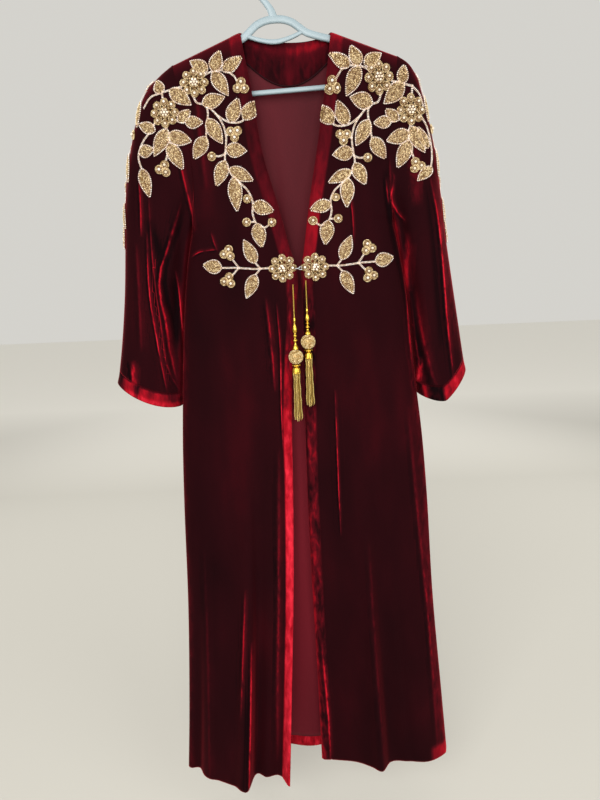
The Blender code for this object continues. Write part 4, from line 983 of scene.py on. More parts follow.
    def front_plan(self, side: Side, u: Array, g: Array) -> Tuple[Array, ...]:
        """Across, drop, distance from the edge, drop at the seam and top of a front's grid."""
        neck = NECK_DROP[side]
        edge_drop = HEM_DROP + (neck - HEM_DROP) * g
        side_drop = HEM_DROP + (SHOULDER_DROP - HEM_DROP) * g
        edge = curve(self.front_edge, side.value, edge_drop)
        seam = side.sign * curve(self.side, side.value, side_drop)
        return (edge + (seam - edge) * u, edge_drop + (side_drop - edge_drop) * u, np.abs(seam - edge) * u,
                side_drop, neck + (SHOULDER_DROP - neck) * u)

    def front(self, side: Side, u: Array, g: Array) -> Tuple[Array, Marks]:
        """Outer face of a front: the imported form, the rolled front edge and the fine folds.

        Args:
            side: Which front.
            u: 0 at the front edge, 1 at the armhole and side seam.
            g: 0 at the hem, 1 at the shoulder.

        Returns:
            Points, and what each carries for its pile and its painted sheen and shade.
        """
        across, drop, off_edge, side_drop, top = self.front_plan(side, u, g)
        below = drop - top
        depth = self.ridge_front * self.shoulder_round(below) + curve(self.depth, side.value, below)
        depth = depth + self.hanging_depth(side.value, u, drop)
        at_seam = self.armhole_depth(side, "front", side_drop) + curve(self.seam, "forward", side_drop)
        depth = at_seam + (depth - at_seam) * self.fall(u, side_drop)
        lift, marks = folded(FRONT_FOLDS, across, drop)
        depth = depth + lift * (1 - u ** 6 * (1 - self.at_arm(side_drop)))
        band, band_painted_sheen, crush = self.edge_marks(side, off_edge, drop)
        # Painted sheen along the side seam below the armhole, with crushed-pile mottling, both twice as
        # strong on the right front; a painted highlight along the shoulder line; and on the right front a
        # painted highlight patch at the hem's corner by the side seam.
        rub_and_sheen = ease(u, 0.90, 1.0) * ease(drop, 0.30, 0.60)
        shoulder = 0.16 * (1 - ease(below, 0.0, 0.035))
        painted_sheen_gain = 2.0 if side is Side.RIGHT else 1.0
        corner = 0.36 * ease(drop, 1.375, 1.392) * ease(u, 0.84, 0.88) if side is Side.RIGHT else 0.0
        marks["glow"] = marks["glow"] + band_painted_sheen + 0.10 * painted_sheen_gain * rub_and_sheen + shoulder + corner
        marks["crush"] = np.clip(crush + 0.28 * painted_sheen_gain * rub_and_sheen, 0, 1)
        return spread(across, depth + band, drop), marks

    def edge_marks(self, side: Side, off: Array, drop: Array) -> Tuple[Array, Array, Array]:
        """The turned-in front edge: a low crown one band wide, its stitched trough, its puckers and the
        painted sheen along it.

        Args:
            side: Which front.
            off: Distance in from the front edge.
            drop: Distance below the neck point.

        Returns:
            Depth to add, painted sheen and crush.
        """
        width = self.edge_band - (0.0050 * ease(drop, 0.40, 0.48) if side is Side.LEFT else 0.0)
        inside = 1 - ease(off, width * 0.86, width * 1.08)
        crown = self.edge_crown * np.sin(np.pi * np.clip(off / width, 0, 1))
        trough = self.edge_trough * hump(off, width, self.trough_width)
        rolled = self.edge_roll * hump(off, 0.0, self.roll_width)
        pucker = np.sin(drop * 430 + 2.1 * np.sin(drop * 61) + off * 90)
        pucker = pucker + 0.7 * np.sin(drop * 271 + 1.3 * np.sin(drop * 37) - off * 140)
        rough = ease(drop, 0.36, 0.44)
        depth = crown - trough - rolled + self.pucker_height * pucker * inside * (0.35 + 0.65 * rough)
        # Painted sheen along the band, brighter and darker in steps down each front; on the right front
        # also a thin painted highlight at the very edge lower down.
        if side is Side.LEFT:
            level = stepped(drop, 0.12, (0.20, 0.36, 0.10), (0.44, 0.74, 0.42))
            level = level + 0.10 * hump(drop, 0.93, 0.12)
        else:
            level = stepped(drop, 0.20, (0.16, 0.34, 0.20), (0.35, 0.45, -0.36), (0.62, 0.66, 0.14),
                            (0.90, 1.10, -0.08))
            level = level + 0.34 * ease(drop, 0.85, 1.05) * hump(off, 0.0, 0.0040)
        crush = inside * (0.20 + 0.36 * rough)
        return depth, inside * level, crush

    def back_neck(self) -> Tuple[float, float]:
        """Where the two neck points fall across the back, from -1 to 1."""
        left, right = self.side["left"][0], self.side["right"][0]
        middle, half = (right - left) / 2, (right + left) / 2
        return tuple((self.front_edge[name][0] - middle) / half for name in ("left", "right"))

    def back_top(self, u: Array) -> Array:
        """Drop of the back's upper edge: the shoulder lines, and the neck that dips between them."""
        neck_left, neck_right = self.back_neck()
        neck = np.where(u < 0, -neck_left, neck_right)
        inside = np.clip(1 - np.abs(u) / neck, 0, 1)
        shoulder = np.clip((np.abs(u) - neck) / (1 - neck), 0, 1)
        low, high = NECK_DROP[Side.LEFT], NECK_DROP[Side.RIGHT]
        level = low + (high - low) * ease(u, neck_left, neck_right)
        return level + (SHOULDER_DROP - level) * shoulder + self.neck_dip * (1 - (1 - inside) ** 2.5)

    def back(self, u: Array, g: Array) -> Tuple[Array, Marks]:
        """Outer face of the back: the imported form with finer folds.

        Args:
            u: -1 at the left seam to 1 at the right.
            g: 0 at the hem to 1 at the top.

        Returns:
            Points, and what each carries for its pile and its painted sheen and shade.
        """
        neck_left, neck_right = self.back_neck()
        neck = np.where(u < 0, -neck_left, neck_right)
        top = self.back_top(u)
        side_drop = HEM_DROP + (SHOULDER_DROP - HEM_DROP) * g
        left, right = -curve(self.side, "left", side_drop), curve(self.side, "right", side_drop)
        drop = HEM_DROP + (top - HEM_DROP) * g
        across = left + (right - left) * (u + 1) / 2
        below = drop - top
        ridge = self.shoulder_round(below)
        depth = self.ridge_back * ridge + curve(self.depth, "back", below)
        depth = depth + self.neck_stand * (1 - ridge) * ease((neck - np.abs(u)) / self.neck_turn, 0, 1.25)
        depth = depth + self.hanging_depth("back", u, drop)
        at_seam = np.where(u < 0, self.armhole_depth(Side.LEFT, "back", side_drop),
                           self.armhole_depth(Side.RIGHT, "back", side_drop))
        at_seam = at_seam - curve(self.seam, "forward", side_drop)
        depth = at_seam + (depth - at_seam) * self.fall(u, side_drop)
        lift, marks = folded(BACK_FOLDS, across, drop)
        depth = depth + lift * (1 - np.abs(u) ** 6 * (1 - self.at_arm(side_drop)))
        # Painted sheen along the side seams, with crushed-pile mottling; the pile is also brighter and more
        # mottled along the hem.
        rub_and_sheen = ease(np.abs(u), 0.92, 1.0) * ease(drop, 0.30, 0.60)
        hem = 1 - ease(HEM_DROP - drop, 0.020, 0.027)
        marks["glow"] = marks["glow"] + 0.14 * rub_and_sheen + 0.10 * hem
        marks["crush"] = 0.25 * rub_and_sheen + 0.15 * hem
        return spread(across, -depth, drop), marks

    def sleeve_form(self, side: Side, ring: Array, place: Array,
                    front: Array) -> Tuple[Array, Array, Array]:
        """Sleeve without its fine folds: each ring is an oval from its outer end to its inner end.

        Near the armhole the oval bends to follow the armhole's curve. A crease runs down its front,
        and the front of the cuff dips below its ends.

        Args:
            side: Which sleeve.
            ring: 0 at the armhole to 11 at the cuff's edge.
            place: 1 at the outer end of a ring to -1 at its inner end.
            front: Whether each point is on the front half.

        Returns:
            across, depth and drop.
        """
        rows = self.sleeve[side.value]
        at = {name: smooth(ring, np.arange(float(len(values))), values) for name, values in rows.items()}
        depth = np.where(front, at["front"], -at["back"]) * oval(place, RING_POWER)
        cut = hump(place, curve(self.crease, "place", ring), self.crease_half_width)
        cut = curve(self.crease, "depth", ring) * cut
        depth = depth - np.where(front, cut, 0)
        share = (1 + place) / 2
        beside = curve(self.side, side.value, at["inner_drop"]) + self.sleeve_gap
        at["inner"] = np.minimum(at["inner"], beside)
        across = at["inner"] + (at["outer"] - at["inner"]) * share
        drop = at["inner_drop"] + (at["outer_drop"] - at["inner_drop"]) * share
        drop = drop + np.where(front, at["dip"], 0) * (1 - np.abs(place) ** DIP_POWER[side])
        arm_drop = UNDERARM_DROP + (SHOULDER_DROP - UNDERARM_DROP) * share
        chord = rows["inner"][0] + (rows["outer"][0] - rows["inner"][0]) * share
        bend = curve(self.side, side.value, arm_drop) - chord
        return side.sign * (across + bend * np.clip(1 - ring / CAP_RINGS, 0, 1) ** 2), depth, drop

    def sleeve_at(self, side: Side, ring: Array, place: Array, front: Array) -> Tuple[Array, Marks]:
        """The sleeve's outer face, with its fine folds and the band round its end.

        Args:
            side: Which sleeve.
            ring: 0 at the armhole to 11 at the cuff's edge.
            place: 1 at the outer end of a ring to -1 at its inner end.
            front: Whether each point is on the front half.

        Returns:
            Points, and what each carries for its pile and its painted sheen and shade.
        """
        across, depth, drop = self.sleeve_form(side, ring, place, front)
        facing = np.where(front, 1, -1)
        lift, marks = folded(FRONT_FOLDS, across, drop)
        lift_back, marks_back = folded(BACK_FOLDS, across, drop)
        keep = 1 - np.abs(place) ** 8
        lift = np.where(front, lift, lift_back) * keep
        # Painted sheen where the sleeve turns round at its outer and inner ends.
        edge = ease(np.abs(place), 0.82, 1.0) * ease(ring, 0.3, 2.0)
        band = ease(ring, BAND_RING - 0.06, BAND_RING + 0.10)
        crown = self.cuff_crown * band * np.sin(np.pi * np.clip(ring - BAND_RING, 0, 1))
        crown = crown - self.cuff_seam * hump(ring, BAND_RING, 0.06)
        depth = depth + facing * (lift + keep * crown)
        marks = {name: np.where(front, mark, marks_back[name]) * (1 - band * (not name.startswith("off")))
                 for name, mark in marks.items()}
        # Painted light on the cuff band. Left: a painted highlight blob, painted shade at the outer end and
        # in a narrow strip, and a brighter lower edge. Right: painted shade on the inner half of the front
        # and a painted highlight near the inner end.
        painted_cuff_patches = 0.20 * hump(place, 0.57, 0.14) - 0.50 * ease(place, 0.76, 0.90)
        painted_cuff_patches = painted_cuff_patches - 0.46 * hump(place, 0.32, 0.05) - 0.16 * ease(-place, 0.55, 0.70)
        low = ease(ring, BAND_RING + 0.35, BAND_RING + 0.75) * (1 - ease(place, 0.45, 0.75))
        cuff_painted_light = 0.34 + 0.22 * low + (painted_cuff_patches if side is Side.LEFT else 0.0)
        if side is Side.RIGHT:
            cuff_painted_light = 0.60 * np.where(front, ease(place, -0.12, 0.06), 0.8) - 0.12
            cuff_painted_light = cuff_painted_light + 0.55 * hump(place, -0.74, 0.11)
        marks["glow"] = marks["glow"] + 0.22 * edge * (1 - band) + cuff_painted_light * band
        marks["crush"] = 0.14 * edge + 0.50 * band
        return spread(across, depth, drop), marks


FORM = Form()


# Cloth pieces

def sheet_area(outer: Array, wrap: bool) -> float:
    """Area of a grid of points in square metres, from the cross products of its squares' sides."""
    faces = grid_faces(outer.shape[0], outer.shape[1], wrap)
    a, b, c, d = (outer.reshape(-1, 3)[faces[:, corner]] for corner in range(4))
    return float((np.linalg.norm(np.cross(b - a, c - a), axis=1)
                  + np.linalg.norm(np.cross(c - a, d - a), axis=1)).sum() / 2)


# Flat size of each cut piece in metres: its width and its length
CUT = {"front_left": (0.345, 1.455), "front_right": (0.290, 1.455), "back": (0.600, 1.440),
       "sleeve_left": (0.560, 0.640), "sleeve_right": (0.560, 0.640), "cuff_left": (0.300, 0.034),
       "cuff_right": (0.300, 0.034), "back_lining": (0.400, 1.350), "neck_facing": (0.150, 0.070)}


@dataclass
class Garment:
    """The velvet panels, the sleeves with their bands, and the facing and lining inside the back."""

    velvet: Material
    satin: Material
    piping: Material
    edge_columns: int = 22
    front_columns: int = 58
    front_rows: int = 290
    back_columns: int = 120
    back_rows: int = 230
    sleeve_rings: int = 130
    sleeve_sides: int = 48
    cuff_rings: int = 12
    lining_reach: float = 0.65
    lining_gap: float = 0.0004
    lining_thick: float = 0.0007
    lining_tuck: float = 0.012
    hem_turn: float = 0.0182
    facing_depth: float = 0.066
    facing_thick: float = 0.0013
    pipe_radius: float = 0.0011

    def finish(self, name: str, made: Mesh, outer: Array, wrap: bool, slot: Slot) -> None:
        outside = self.satin if slot is Slot.SATIN else self.velvet
        within = self.velvet if slot is Slot.EDGE_VELVET else self.satin
        piece = made.piece(name + "_cloth", [outside, within])
        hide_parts(name)
        flat = CUT[name]
        area = min(sheet_area(outer, wrap), flat[0] * flat[1])

    def build_front(self, side: Side) -> None:
        """One front panel, its columns close together along the front edge."""
        u = np.concatenate((np.linspace(0, 0.15, self.edge_columns),
                            np.linspace(0.15, 1, self.front_columns)[1:]))
        u, g = np.meshgrid(u, np.linspace(0, 1, self.front_rows))
        outer, marks = FORM.front(side, u, g)
        inner = outer - grid_normals(outer, False, FORWARD) * CLOTH
        made = wall(outer, inner, False, marks, {"glow": 0.2})
        self.finish("front_" + side.value, made, outer, False, Slot.VELVET)

    def build_back(self) -> None:
        """The back panel; its inner face is velvet where the turned-up hem shows."""
        u, g = np.meshgrid(np.linspace(-1, 1, self.back_columns), np.linspace(0, 1, self.back_rows))
        outer, marks = FORM.back(u, g)
        inner = outer - grid_normals(outer, False, -FORWARD) * CLOTH
        hem = 1 - ease(g, 0.018, 0.024)
        made = wall(outer, inner, False, marks, {"glow": 0.10 + 0.45 * hem, "crush": 0.6 * hem})
        made.slots[:] = 0
        self.finish("back", made, outer, False, Slot.VELVET)

    def sleeve_grid(self, side: Side, first: float, last: float, rings: int) -> Tuple[Array, Marks]:
        """Rings of a sleeve; columns go down its front and up its back, closer at its two ends."""
        turn = np.linspace(0, np.pi, self.sleeve_sides)
        place = np.cos(turn)
        around = np.concatenate((place, place[-2:0:-1]))
        front = np.arange(len(around)) < len(place)
        ring, place = np.meshgrid(np.linspace(first, last, rings), around, indexing="ij")
        return FORM.sleeve_at(side, ring, place, np.broadcast_to(front, ring.shape))

    def build_sleeve(self, side: Side) -> None:
        """The sleeve's tube and the band round its end."""
        for name, first, last, rings, slot in (
                ("sleeve_", 0.0, BAND_RING, self.sleeve_rings, Slot.VELVET),
                ("cuff_", BAND_RING, RINGS, self.cuff_rings, Slot.EDGE_VELVET)):
            outer, marks = self.sleeve_grid(side, first, last, rings)
            inner = outer - grid_normals(outer, True, outer - outer.mean(axis=1, keepdims=True)) * CLOTH
            made = wall(outer, inner, True, marks, {"glow": 0.30, "crush": 0.4})
            self.finish(name + side.value, made, outer, True, slot)

    def inside_back(self, u: Array, g: Array, off: float, thick: float,
                    stand: Array) -> Tuple[Array, Array]:
        """Two grids that lie inside the back, off its inner face by a gap."""
        outer, _ = FORM.back(u, g)
        normal = grid_normals(outer, False, -FORWARD)
        near = outer - normal * (CLOTH + off + stand)[..., None]
        return near, near - normal * thick

    def build_lining(self) -> None:
        """The satin inside the back, hung in a few slack folds from under the facing to above the hem."""
        columns = np.linspace(-self.lining_reach, self.lining_reach, 90)
        u, share = np.meshgrid(columns, np.linspace(0, 1, 150))
        top = FORM.back_top(u)
        tucked = 1 - (self.facing_drop(u) - self.lining_tuck) / (HEM_DROP - top)
        g = self.hem_turn + (tucked - self.hem_turn) * share
        slack = 0.0012 * (1 - share) * (1 + np.sin(u * 16 + 1.2 * np.sin(share * 3)))
        near, far = self.inside_back(u, g, self.lining_gap, self.lining_thick, slack)
        made = wall(near, far, False)
        self.finish("back_lining", made, near, False, Slot.SATIN)

    def facing_drop(self, u: Array) -> Array:
        """How far down the facing reaches: deepest at the middle, shallower towards the shoulders."""
        left, right = FORM.back_neck()
        t = (u - (left + right) / 2) / ((right - left) / 2)
        return self.facing_depth * (0.60 + 0.40 * np.cos(np.clip(t, -1.2, 1.2) * np.pi / 2))

    def build_facing(self) -> None:
        """The velvet crescent inside the back neck, with a dark piped cord along its lower edge."""
        left, right = FORM.back_neck()
        edge = FORM.neck_turn * 0.55
        u, share = np.meshgrid(np.linspace(left + edge, right - edge, 64), np.linspace(0, 1, 30))
        top = FORM.back_top(u)
        g = 1 - self.facing_drop(u) / (HEM_DROP - top) * (1 - share)
        g = np.minimum(g, 1 - 0.0003)
        ripple = 0.0006 * (1 + np.sin(u * 30 + 2 * share)) * (1 - share)
        near, far = self.inside_back(u, g, self.facing_thick, self.facing_thick, ripple)
        # Painted sheen on the facing: brighter towards the right and the top, a band just below the top,
        # and a patch in the middle of the lower edge.
        glow = 0.02 + 0.20 * ease(u, -0.15, 0.2) * share + 0.14 * hump(share, 0.82, 0.12)
        glow = glow + 0.14 * hump(u, 0.04, 0.05) * (1 - share)
        marks = {"glow": glow, "crush": np.full(u.shape, 0.26)}
        made = wall(far, near, False, marks, marks)
        pipe = tube(far[0] + (0.0, -0.0004, 0.0), self.pipe_radius, 10, (0, 1, 0))
        piping = pipe.piece("facing_piping", [self.piping])
        made.slots[:] = 0
        self.finish("neck_facing", made, near, False, Slot.VELVET)

    def build(self) -> None:
        """Every cloth piece."""
        for side in Side:
            self.build_front(side)
            self.build_sleeve(side)
        self.build_back()
        self.build_lining()
        self.build_facing()


# Laying things on the cloth

@dataclass
class Lay:
    """Turns flat plans, in metres outward and down, into places on the cloth's outer face."""

    side: Side
    sag: float = 0.012
    centre: float = 0.0
    probe: float = 0.0015

    def front_places(self, spots: Array) -> Array:
        """Points of the fronts or sleeves that lie straight behind flat places.

        The place on a front is found by turns: its height from its place across, and back. Beyond
        the armhole the nearest of a coarse net of sleeve points is mended by Newton's steps.

        Args:
            spots: Rows of (outward, drop).

        Returns:
            World points.
        """
        sag = self.sag if self.side is Side.RIGHT and self.centre == 0 else 0.0
        drop = spots[:, 1] + sag * ease(spots[:, 1], 0.05, 0.13) * (1 - ease(spots[:, 1], 0.20, 0.30))
        across = self.centre + self.side.sign * spots[:, 0]
        neck = NECK_DROP[self.side]
        u = np.full(len(spots), 0.5)
        for _ in range(12):
            g = (HEM_DROP - drop) / (HEM_DROP - (neck + (SHOULDER_DROP - neck) * u))
            g = np.clip(g, 0, 1)
            edge = FORM.front_plan(self.side, np.zeros_like(u), g)[0]
            seam = FORM.front_plan(self.side, np.ones_like(u), g)[0]
            raw = (across - edge) / (seam - edge)
            u = np.clip(raw, 0, 1)
        points = FORM.front(self.side, u, g)[0]
        beyond = raw > 1
        if beyond.any():
            points[beyond] = self.sleeve_places(across[beyond], drop[beyond])
        return points

    def sleeve_places(self, across: Array, drop: Array) -> Array:
        """Points of the sleeve's front half that lie straight behind flat places."""
        nets = np.meshgrid(np.linspace(0, RINGS, 45), np.linspace(-0.99, 0.995, 33))
        ring, place = (net.ravel() for net in nets)

        def plan(at_ring: Array, at_place: Array) -> Array:
            """Flat places of sleeve points."""
            across, _, drop = FORM.sleeve_form(self.side, at_ring, at_place, np.ones(len(at_ring), bool))
            return np.stack((across, drop), -1)

        wanted = np.stack((across, drop), -1)
        net = plan(ring, place)
        nearest = np.concatenate([((part[:, None] - net[None]) ** 2).sum(-1).argmin(1)
                                  for part in np.array_split(wanted, max(1, len(wanted) // 400))])
        ring, place = ring[nearest], place[nearest]
        for _ in range(4):
            here = plan(ring, place)
            by_ring = (plan(ring + 1e-3, place) - here) / 1e-3
            by_place = (plan(ring, place + 1e-4) - here) / 1e-4
            off = wanted - here
            size = by_ring[:, 0] * by_place[:, 1] - by_ring[:, 1] * by_place[:, 0]
            size = np.where(np.abs(size) < 1e-6, 1e-6, size)
            on = (off[:, 0] * by_place[:, 1] - off[:, 1] * by_place[:, 0]) / size
            round_it = (by_ring[:, 0] * off[:, 1] - by_ring[:, 1] * off[:, 0]) / size
            ring = np.clip(ring + np.clip(on, -0.3, 0.3), 0, RINGS)
            place = np.clip(place + np.clip(round_it, -0.1, 0.1), -0.995, 0.998)
        return FORM.sleeve_at(self.side, ring, place, np.ones(len(ring), bool))[0]

    def outer_places(self, spots: Array) -> Array:
        """Points of the sleeve's outer side: metres along its outer line, then round towards the front."""
        rings = np.linspace(0, BAND_RING, 200)
        line = FORM.sleeve_at(self.side, rings, np.full(200, 0.99999), np.ones(200, bool))[0]
        ring = np.interp(spots[:, 0], travelled(line), rings)
        turn = np.linspace(0, 1.4, 50)
        front = np.broadcast_to((spots[:, 1] >= 0)[:, None], (len(spots), 50))
        girth = spread(*FORM.sleeve_form(self.side, np.repeat(ring[:, None], 50, 1),
                                         np.broadcast_to(np.cos(turn), (len(spots), 50)), front))
        steps = np.linalg.norm(np.diff(girth, axis=1), axis=2)
        reach = np.concatenate((np.zeros((len(spots), 1)), np.cumsum(steps, axis=1)), axis=1)
        low = np.clip((reach <= np.abs(spots[:, 1:])).sum(axis=1) - 1, 0, 48)
        rows = np.arange(len(spots))
        gap = np.maximum(reach[rows, low + 1] - reach[rows, low], 1e-9)
        share = (np.abs(spots[:, 1]) - reach[rows, low]) / gap
        place = np.cos(turn[low] + (turn[1] - turn[0]) * np.clip(share, 0, 1))
        return FORM.sleeve_at(self.side, ring, place, spots[:, 1] >= 0)[0]

    def lay(self, outer: bool, plan: Array, height: Array) -> Array:
        """World points of a flat plan raised off the cloth along its normal."""
        places: Callable[[Array], Array] = self.outer_places if outer else self.front_places
        here = places(plan)
        run = places(plan + (self.probe, 0)) - places(plan - (self.probe, 0))
        down = places(plan + (0, self.probe)) - places(plan - (0, self.probe))
        normal = unit(np.cross(run, down))
        away = np.array((self.side.sign, 0.0, 0.0) if outer else (0.0, -1.0, 0.0))
        normal = normal * np.where((normal * away).sum(-1, keepdims=True) < 0, -1, 1)
        return here + normal * height[:, None]


# Beadwork

MM = 0.001


@dataclass
class Motifs:
    """Flat plans of beadwork: backing plates, seed beads, rope beads and pearls, in metres."""

    seed: int
    plates: List[Tuple[Array, Array]] = field(default_factory=list)
    seeds: List[Array] = field(default_factory=list)
    ropes: List[Array] = field(default_factory=list)
    pearls: List[Array] = field(default_factory=list)
    lift: float = 0.0006
    plate_edge: float = 0.0008
    sunk: float = 0.0004
    leaf_crown: float = 0.0022
    bead_pitch: float = 0.0024
    bead_jitter: float = 0.18
    bare_vein: float = 0.0004
    bead_radius: float = 0.00115
    rope_radius: float = 0.00128
    stem_radius: float = 0.00104
    berry_radius: float = 0.0072
    berry_crown: float = 0.0030
    petal_ring: float = 0.0172
    petal_radius: float = 0.0065
    petal_rope: float = 0.00108
    petals: int = 8

    def __post_init__(self) -> None:
        """Start the seeded draws."""
        self.draw = np.random.default_rng(self.seed)

    def add_beads(self, kind: List[Array], spots: Array, height: Union[float, Array],
                  radius: Union[float, Array]) -> None:
        """Keep beads as rows of (outward, drop, height, radius)."""
        sizes = (np.broadcast_to(size, len(spots)) for size in (height, radius))
        kind.append(np.column_stack((spots, *sizes)))

    def leaf(self, base: Sequence[float], tip: Sequence[float], width: float) -> None:
        """A pointed leaf: a domed plate filled with seed beads, a bare vein, and a rope round it.

        Its half width at a share t of its length is sin(pi t to the 0.75) to the 0.85.

        Args:
            base: Where it grows from, in millimetres.
            tip: Its point.
            width: Its greatest width.
        """
        base, tip = np.array(base) * MM, np.array(tip) * MM
        run = tip - base
        length = float(np.linalg.norm(run))
        run = run / length
        across = np.array((-run[1], run[0]))

        def half(t: Array) -> Array:
            """Half width at a share of the length."""
            return width * MM / 2 * np.sin(np.pi * np.clip(t, 0, 1) ** 0.75) ** 0.85

        def crown(t: Array, off: Array) -> Array:
            """Height of the dome."""
            room = np.maximum(half(t), 1e-5)
            full = np.clip(1 - (off / room) ** 2, 0, 1)
            return self.plate_edge + (self.leaf_crown - self.plate_edge) * full

        t, s = np.meshgrid(np.linspace(0.01, 0.99, 15), np.linspace(-1, 1, 9), indexing="ij")
        off = s * half(t)
        flat = base + (t * length)[..., None] * run + off[..., None] * across
        self.plates.append((flat, crown(t, off)))
        pitch = self.bead_pitch
        columns = np.arange(0.0, length, pitch * 0.866)
        rows = np.arange(-width * MM / 2, width * MM / 2, pitch)
        x, y = np.meshgrid(columns, rows, indexing="ij")
        y = y + np.where(np.arange(len(columns)) % 2, pitch / 2, 0)[:, None]
        x, y = (grid.ravel() + self.draw.uniform(-self.bead_jitter, self.bead_jitter, grid.size) * pitch
                for grid in (x, y))
        share = x / length
        clear = np.abs(y) > self.bare_vein * (share < 0.8)
        kept = clear & (np.abs(y) < half(share) - 1.35 * self.rope_radius)
        x, y, share = x[kept], y[kept], share[kept]
        spots = base + x[:, None] * run + y[:, None] * across
        size = self.bead_radius * self.draw.uniform(0.72, 1.12, len(x))
        self.add_beads(self.seeds, spots, crown(share, y) + size * 0.35, size)
        t = np.linspace(0, 1, 80)
        for sign in (-1, 1):
            line = base + (t * length)[:, None] * run + (sign * half(t))[:, None] * across
            self.rope(line, self.plate_edge)

    def rope(self, line: Array, height: float, radius: Optional[float] = None, gold: bool = False) -> None:
        """Rope beads, close together along a flat line."""
        chord = travelled(line)
        radius = radius or self.rope_radius
        at = np.arange(0, chord[-1], 2.25 * radius)
        spots = np.stack([np.interp(at, chord, line[:, axis]) for axis in (0, 1)], axis=1)
        self.add_beads(self.seeds if gold else self.ropes, spots, height + self.sunk, radius)

    def stem(self, *points: Sequence[float]) -> None:
        """A beaded stem: two ropes side by side along a smooth curve, in millimetres."""
        path, _ = along(np.array(points, dtype=float) * MM, 0.002)
        run = unit(np.gradient(path, axis=0))
        across = np.stack((-run[:, 1], run[:, 0]), -1)
        for off in (-0.0008, 0.0008):
            self.rope(path + across * off, self.sunk, self.stem_radius)

    def round_plate(self, centre: Array, radius: float, edge: float, top: float) -> None:
        """A round domed plate."""
        r, turn = np.meshgrid(np.linspace(0.02, 1, 5) * radius, np.linspace(0, 2 * np.pi, 17),
                              indexing="ij")
        height = edge + (top - edge) * (1 - (r / radius) ** 2)
        self.plates.append((centre + r[..., None] * circle(turn), height))

    def rosette(self, centre: Array, radius: float, tall: float) -> None:
        """A pearl inside two rings of seed beads."""
        self.round_plate(centre, radius, self.plate_edge, tall)
        self.add_beads(self.pearls, centre[None], tall + 0.0007, radius * 0.34)
        for share, count, size in ((0.60, 12, 0.00100), (0.90, 20, 0.00108)):
            height = self.plate_edge + (tall - self.plate_edge) * (1 - share ** 2) + self.sunk
            self.add_beads(self.seeds, centre + radius * share * circle(turns(count)), height, size)

    def berry(self, centre: Sequence[float]) -> None:
        """A single round berry."""
        self.rosette(np.array(centre, dtype=float) * MM, self.berry_radius, self.berry_crown)

    def cluster(self, across: float, drop: float, turn: float) -> None:
        """Three berries round one point."""
        for spot in np.array((across, drop)) * MM + self.berry_radius * 0.94 * circle(turn + turns(3)):
            self.rosette(spot, self.berry_radius, self.berry_crown)

    def petal(self, centre: Array, middle: Array) -> None:
        """A petal: a pearl in a ring of seed beads, its rope drawn out to a point towards the middle."""
        self.round_plate(centre, self.petal_radius, self.plate_edge, 0.0028)
        self.add_beads(self.pearls, centre[None], 0.0035, 0.0022)
        inward = math.atan2(middle[1] - centre[1], middle[0] - centre[0])
        turn = np.linspace(0, 2 * np.pi, 72)
        reach = self.petal_radius * (0.88 + 0.26 * np.clip(np.cos(turn), 0, 1) ** 8)
        outline = centre + reach[:, None] * circle(turn + inward)
        self.rope(outline, self.plate_edge, self.petal_rope, gold=True)
        self.add_beads(self.seeds, centre + 0.0039 * circle(turns(11)), 0.0023, 0.0009)

    def flower(self, centre: Sequence[float]) -> None:
        """A flower: a ring of petals round a knot of small pearls."""
        middle = np.array(centre, dtype=float) * MM
        for spot in middle + self.petal_ring * circle(turns(self.petals)):
            self.petal(spot, middle)
        self.round_plate(middle, self.petal_ring * 0.58, 0.0009, 0.0032)
        self.add_beads(self.pearls, middle[None], 0.0042, 0.0023)
        for count, ring, size, kind, tall in ((6, 0.0047, 0.0020, self.pearls, 0.0036),
                                              (19, 0.0075, 0.0011, self.seeds, 0.0028)):
            self.add_beads(kind, middle + ring * circle(turns(count)), tall, size)


@dataclass(frozen=True)
class Spray:
    """One spray in millimetres: outwards and down, or along the sleeve's outer line and round it.

    A stem is its places in turn. A leaf is one row: its base, its tip and its width. A flower or a
    berry is its middle, and a cluster its middle and its turn.
    """

    seed: int
    stems: Tuple
    leaves: Tuple
    flowers: Tuple = ()
    berries: Tuple = ()
    clusters: Tuple = ()

    def motifs(self) -> Motifs:
        """Every motif of the spray as one flat plan."""
        plan = Motifs(self.seed)
        for points in self.stems:
            plan.stem(*points)
        for row in self.leaves:
            plan.leaf(row[:2], row[2:4], row[4])
        for spot in self.flowers:
            plan.flower(spot)
        for spot in self.berries:
            plan.berry(spot)
        for row in self.clusters:
            plan.cluster(*row)
        return plan


